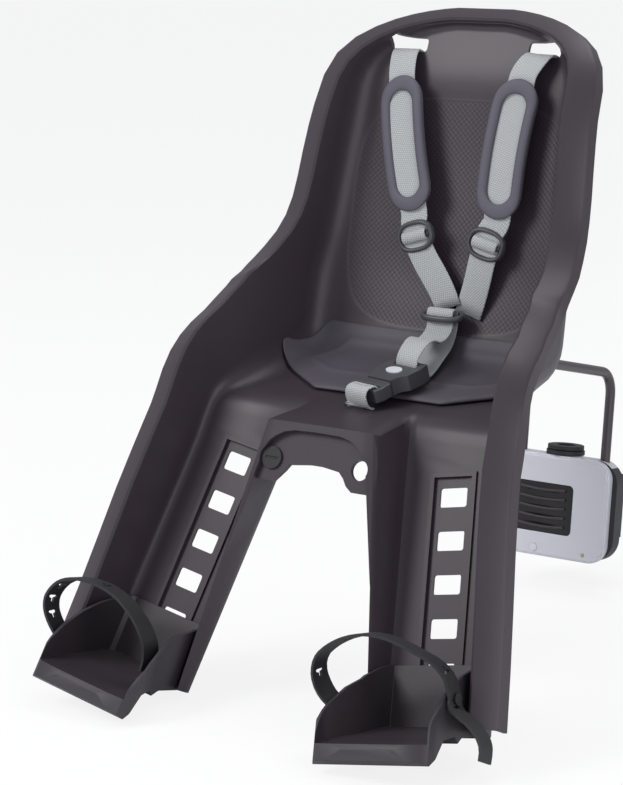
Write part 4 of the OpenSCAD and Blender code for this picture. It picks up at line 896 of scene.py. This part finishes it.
def cushion(name, m):
    bm = bmesh.new()
    outer, inner = round_ended(45, PAD_LEN), round_ended(24, PAD_LEN - 27)
    rows = []
    for (xo, zo), (xi, zi) in zip(outer, inner):
        end = min(1.0, max(0.0, (abs(zo) - 44) / 12))
        end = end * end * (3 - 2 * end)
        front, back = -4.3 - 0.3 * end, 3.4 - 4.6 * end
        row = []
        for k in range(16):
            g = 2 * math.pi * k / 16
            c, q = math.cos(g), math.sin(g)
            u = 0.5 + 0.5 * math.copysign(abs(c) ** 0.7, c)
            y = (front + back) / 2 + (back - front) / 2 * math.copysign(abs(q) ** 0.75, q)
            place = Vector((xo + (xi - xo) * u, y, zo + (zi - zo) * u)) / 1000
            row.append(bm.verts.new(m @ place))
        rows.append(row)
    for a, b in zip(rows, rows[1:] + rows[:1]):
        for k in range(16):
            bm.faces.new((a[k], a[(k + 1) % 16], b[(k + 1) % 16], b[k]))
    bmesh.ops.recalc_face_normals(bm, faces=bm.faces)
    obj = new_object(name, bm, MATS["shoulder"])
    swell(obj, 0.0005)
    bm = bmesh.new()
    bm.from_mesh(obj.data)
    plate = round_ended(41, PAD_LEN - 5)
    sides = [[bm.verts.new(m @ (Vector((x, y, z)) / 1000)) for x, z in plate]
             for y in (1.5, 3.3)]
    n = len(plate)
    for k in range(n):
        bm.faces.new((sides[0][k], sides[0][(k + 1) % n], sides[1][(k + 1) % n], sides[1][k]))
    bm.faces.new(sides[0][::-1])
    bm.faces.new(sides[1])
    bmesh.ops.recalc_face_normals(bm, faces=bm.faces)
    bm.to_mesh(obj.data)
    bm.free()
    return obj


for i, side in enumerate(("left", "right")):
    middle_m = frame_at((PAD_LOW[i] + PAD_TOP[i]) / 2, PAD_TOP[i] - PAD_LOW[i])
    soft = cushion("shoulder_cushion_" + side, middle_m)
    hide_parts("shoulder_pad_" + side)
    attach(soft, body_with("shoulder_pad_" + side))
    print(soft.name, "faces:", len(soft.data.polygons))

# %% [markdown]
# ## Sliding ties
# Each tie is an oval ring of plastic with a bar across it. The webbing rolls over that
# bar, so that a short roll of strap shows in the ring. The ring is swept round an oval,
# with a rounded section.

# %% Sliding ties


def oval_ring(name, frame_m, w, h, bar, deep, material):
    """An oval ring in its frame's x-z plane with a bar across its middle."""
    bm = bmesh.new()
    steps = 48
    section = [(math.cos(a), math.sin(a)) for a in np.linspace(0, 2 * math.pi, 12, endpoint=False)]
    rows = []
    for k in range(steps):
        g = 2 * math.pi * k / steps
        c, s = math.cos(g), math.sin(g)
        p = 2.0 / 2.6
        x = (w / 2 - bar / 2) * math.copysign(abs(c) ** p, c)
        z = (h / 2 - bar / 2) * math.copysign(abs(s) ** p, s)
        out = Vector((c / (w / 2), 0, s / (h / 2))).normalized()
        rows.append([bm.verts.new(Vector((x, 0, z)) + out * (u * bar / 2)
                                  + Vector((0, v * deep / 2, 0))) for u, v in section])
    for k in range(steps):
        a, b = rows[k], rows[(k + 1) % steps]
        for j in range(12):
            bm.faces.new((a[j], a[(j + 1) % 12], b[(j + 1) % 12], b[j])).smooth = True
    ends = []
    for x in np.linspace(-(w / 2 - bar), w / 2 - bar, 9):
        ends.append([bm.verts.new(Vector((x, v * deep * 0.3, u * bar * 0.7))) for u, v in section])
    for a, b in zip(ends, ends[1:]):
        for j in range(12):
            bm.faces.new((a[j], b[j], b[(j + 1) % 12], a[(j + 1) % 12])).smooth = True
    for row in (ends[0], ends[-1]):
        bm.faces.new(row)
    bmesh.ops.recalc_face_normals(bm, faces=bm.faces)
    bmesh.ops.transform(bm, matrix=frame_m, verts=bm.verts)
    return new_object(name, bm, material)


def web_roll(name, frame_m, width, radius, lift, material):
    """The short roll of webbing over a tie's bar."""
    path = []
    for g in range(-20, 201, 20):
        a = math.radians(g)
        spot = Vector((0, -lift - radius * math.sin(a), radius * 1.25 * math.cos(a)))
        path.append((frame_m @ spot, frame_m.to_3x3() @ X))
    return ribbon(name, path, width, WEB_T, material, 1)


for i, side in enumerate(("left", "right")):
    m = frame_at(ADJUST[i], ADJUST_UP[i])
    ring = oval_ring("tie_ring_" + side, m, 0.0385, 0.029, 0.0046, 0.0078, MATS["buckle"])
    strap_made(ring, "adjuster_" + side)
    roll = web_roll("tie_roll_" + side, m, 0.0255, 0.0040, 0.0012, MATS["webbing"])
    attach(roll, body_with("adjuster_" + side))
low = frame_at(at_tie(0, 0, -2.5), at_tie(0, 1, -2.5) - at_tie(0, 0, -2.5),
               at_tie(0, 0, -3.5) - at_tie(0, 0, -2.5))
ring = oval_ring("tie_ring_lower", low, 0.043, 0.021, 0.0046, 0.006, MATS["buckle"])
strap_made(ring, "adjuster_lower")

# %% [markdown]
# ## Buckle
# The buckle's two halves are moulded plastic with soft edges. Their CAD solids have the
# right outlines, so rounded copies of them stand for the real thing, and the button's
# oval keeps its small dish.

# %% Buckle
for node, finish, edge in (("buckle_socket", "buckle", 0.0016), ("buckle_tongue", "buckle", 0.0016),
                           ("buckle_button", "white", 0.0007)):
    moulded(node, MATS[finish], edge)
print("buckle rounded")

# %% [markdown]
# ## Repeated details with Geometry Nodes
# Two things repeat in even rows: the raised grip ribs across the release button, and the
# stitches that close each folded strap. One tree makes both. It bends one bar, sets copies
# of it along a line, and turns them, with each size as a named input.

# %% A tree for rows of bars


def row_tree():
    tree = bpy.data.node_groups.new("row_of_bars", "GeometryNodeTree")
    tree.interface.new_socket(name="Geometry", in_out="INPUT", socket_type="NodeSocketGeometry")
    sockets = (("Count", "Int"), ("First", "Vector"), ("Step", "Vector"), ("Turn", "Vector"),
               ("Length", "Float"), ("Thickness", "Float"), ("Bow", "Float"), ("Finish", "Material"))
    for name, kind in sockets:
        tree.interface.new_socket(name=name, in_out="INPUT", socket_type="NodeSocket" + kind)
    tree.interface.new_socket(name="Geometry", in_out="OUTPUT", socket_type="NodeSocketGeometry")
    add, link = tree.nodes.new, tree.links.new
    into, out = add("NodeGroupInput"), add("NodeGroupOutput")
    half = add("ShaderNodeMath")
    half.operation = "MULTIPLY"
    half.inputs[1].default_value = 0.5
    link(into.outputs["Length"], half.inputs[0])
    minus = add("ShaderNodeMath")
    minus.operation = "MULTIPLY"
    minus.inputs[1].default_value = -0.5
    link(into.outputs["Length"], minus.inputs[0])
    ends = [add("ShaderNodeCombineXYZ") for _ in range(3)]
    link(minus.outputs[0], ends[0].inputs[0])
    link(into.outputs["Bow"], ends[1].inputs[2])
    link(half.outputs[0], ends[2].inputs[0])
    bend = add("GeometryNodeCurveQuadraticBezier")
    bend.inputs["Resolution"].default_value = 8
    for end, name in zip(ends, ("Start", "Middle", "End")):
        link(end.outputs[0], bend.inputs[name])
    ring = add("GeometryNodeCurvePrimitiveCircle")
    ring.inputs["Resolution"].default_value = 8
    link(into.outputs["Thickness"], ring.inputs["Radius"])
    bar = add("GeometryNodeCurveToMesh")
    bar.inputs["Fill Caps"].default_value = True
    link(bend.outputs[0], bar.inputs["Curve"])
    link(ring.outputs["Curve"], bar.inputs["Profile Curve"])
    line = add("GeometryNodeMeshLine")
    link(into.outputs["Count"], line.inputs["Count"])
    link(into.outputs["First"], line.inputs["Start Location"])
    link(into.outputs["Step"], line.inputs["Offset"])
    copies = add("GeometryNodeInstanceOnPoints")
    link(line.outputs[0], copies.inputs["Points"])
    link(bar.outputs[0], copies.inputs["Instance"])
    link(into.outputs["Turn"], copies.inputs["Rotation"])
    real, smooth, finish = (add("GeometryNodeRealizeInstances"), add("GeometryNodeSetShadeSmooth"),
                            add("GeometryNodeSetMaterial"))
    link(copies.outputs[0], smooth.inputs["Geometry"])
    link(smooth.outputs[0], real.inputs["Geometry"])
    link(real.outputs[0], finish.inputs["Geometry"])
    link(into.outputs["Finish"], finish.inputs["Material"])
    link(finish.outputs[0], out.inputs["Geometry"])
    return tree


ROW = row_tree()


def row_of_bars(name, values, node):
    """One row made by the tree, turned into a plain mesh that rides with a node's body."""
    obj = bpy.data.objects.new(name, bpy.data.meshes.new(name))
    bpy.context.scene.collection.objects.link(obj)
    mod = obj.modifiers.new("row", "NODES")
    mod.node_group = ROW
    for item in ROW.interface.items_tree:
        if item.in_out == "INPUT" and item.name in values:
            mod[item.identifier] = values[item.name]
    bake_modifiers(obj)
    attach(obj, body_with(node))
    print(name, "faces:", len(obj.data.polygons))


# %% [markdown]
# ## Grip ribs and stitches
# The ribs sag a little in the middle and stand just proud of the button's face. The
# stitches lie across the webbing, where it is folded back on itself, sunk by half.

# %% Grip ribs and stitches
BLOCK_LEAN = math.radians(-6.5)
LEAN = Matrix.Rotation(BLOCK_LEAN, 3, "X")


def on_block(x, y, z):
    v = LEAN @ Vector((x, y, z))
    return seat(v[0], 335 + v[1], -168 + v[2])


rib_step = on_block(0, 0, 9.2) - on_block(0, 0, 0)
row_of_bars("grip_ribs", {
    "Count": 5, "First": on_block(-11.5, 0.95, -19.4), "Step": rib_step, "Length": 50.0 / 1000,
    "Thickness": 1.8 / 1000, "Bow": -3.4 / 1000, "Turn": (BLOCK_LEAN, 0, 0),
    "Finish": MATS["rib"]}, "release_button")


STITCHES, STITCH_ROW = 9, 0.0205


def stitch_row(name, middle, across, node):
    step = across.normalized() * (STITCH_ROW / (STITCHES - 1))
    angle = math.atan2(across[1], across[0])
    row_of_bars(name, {
        "Count": STITCHES, "First": middle - across.normalized() * (STITCH_ROW / 2),
        "Step": step, "Length": 0.0017, "Thickness": 0.0003, "Bow": 0.0,
        "Turn": (0, 0, angle), "Finish": MATS["thread"]}, node)


stitch_row("waist_stitches", seat(12, 78, 38) + Vector((0, -0.0006, 0.0009)), X, "waist_strap")
stitch_row("crotch_stitches", at_buckle(0, -26, 9.5), BX, "crotch_strap")
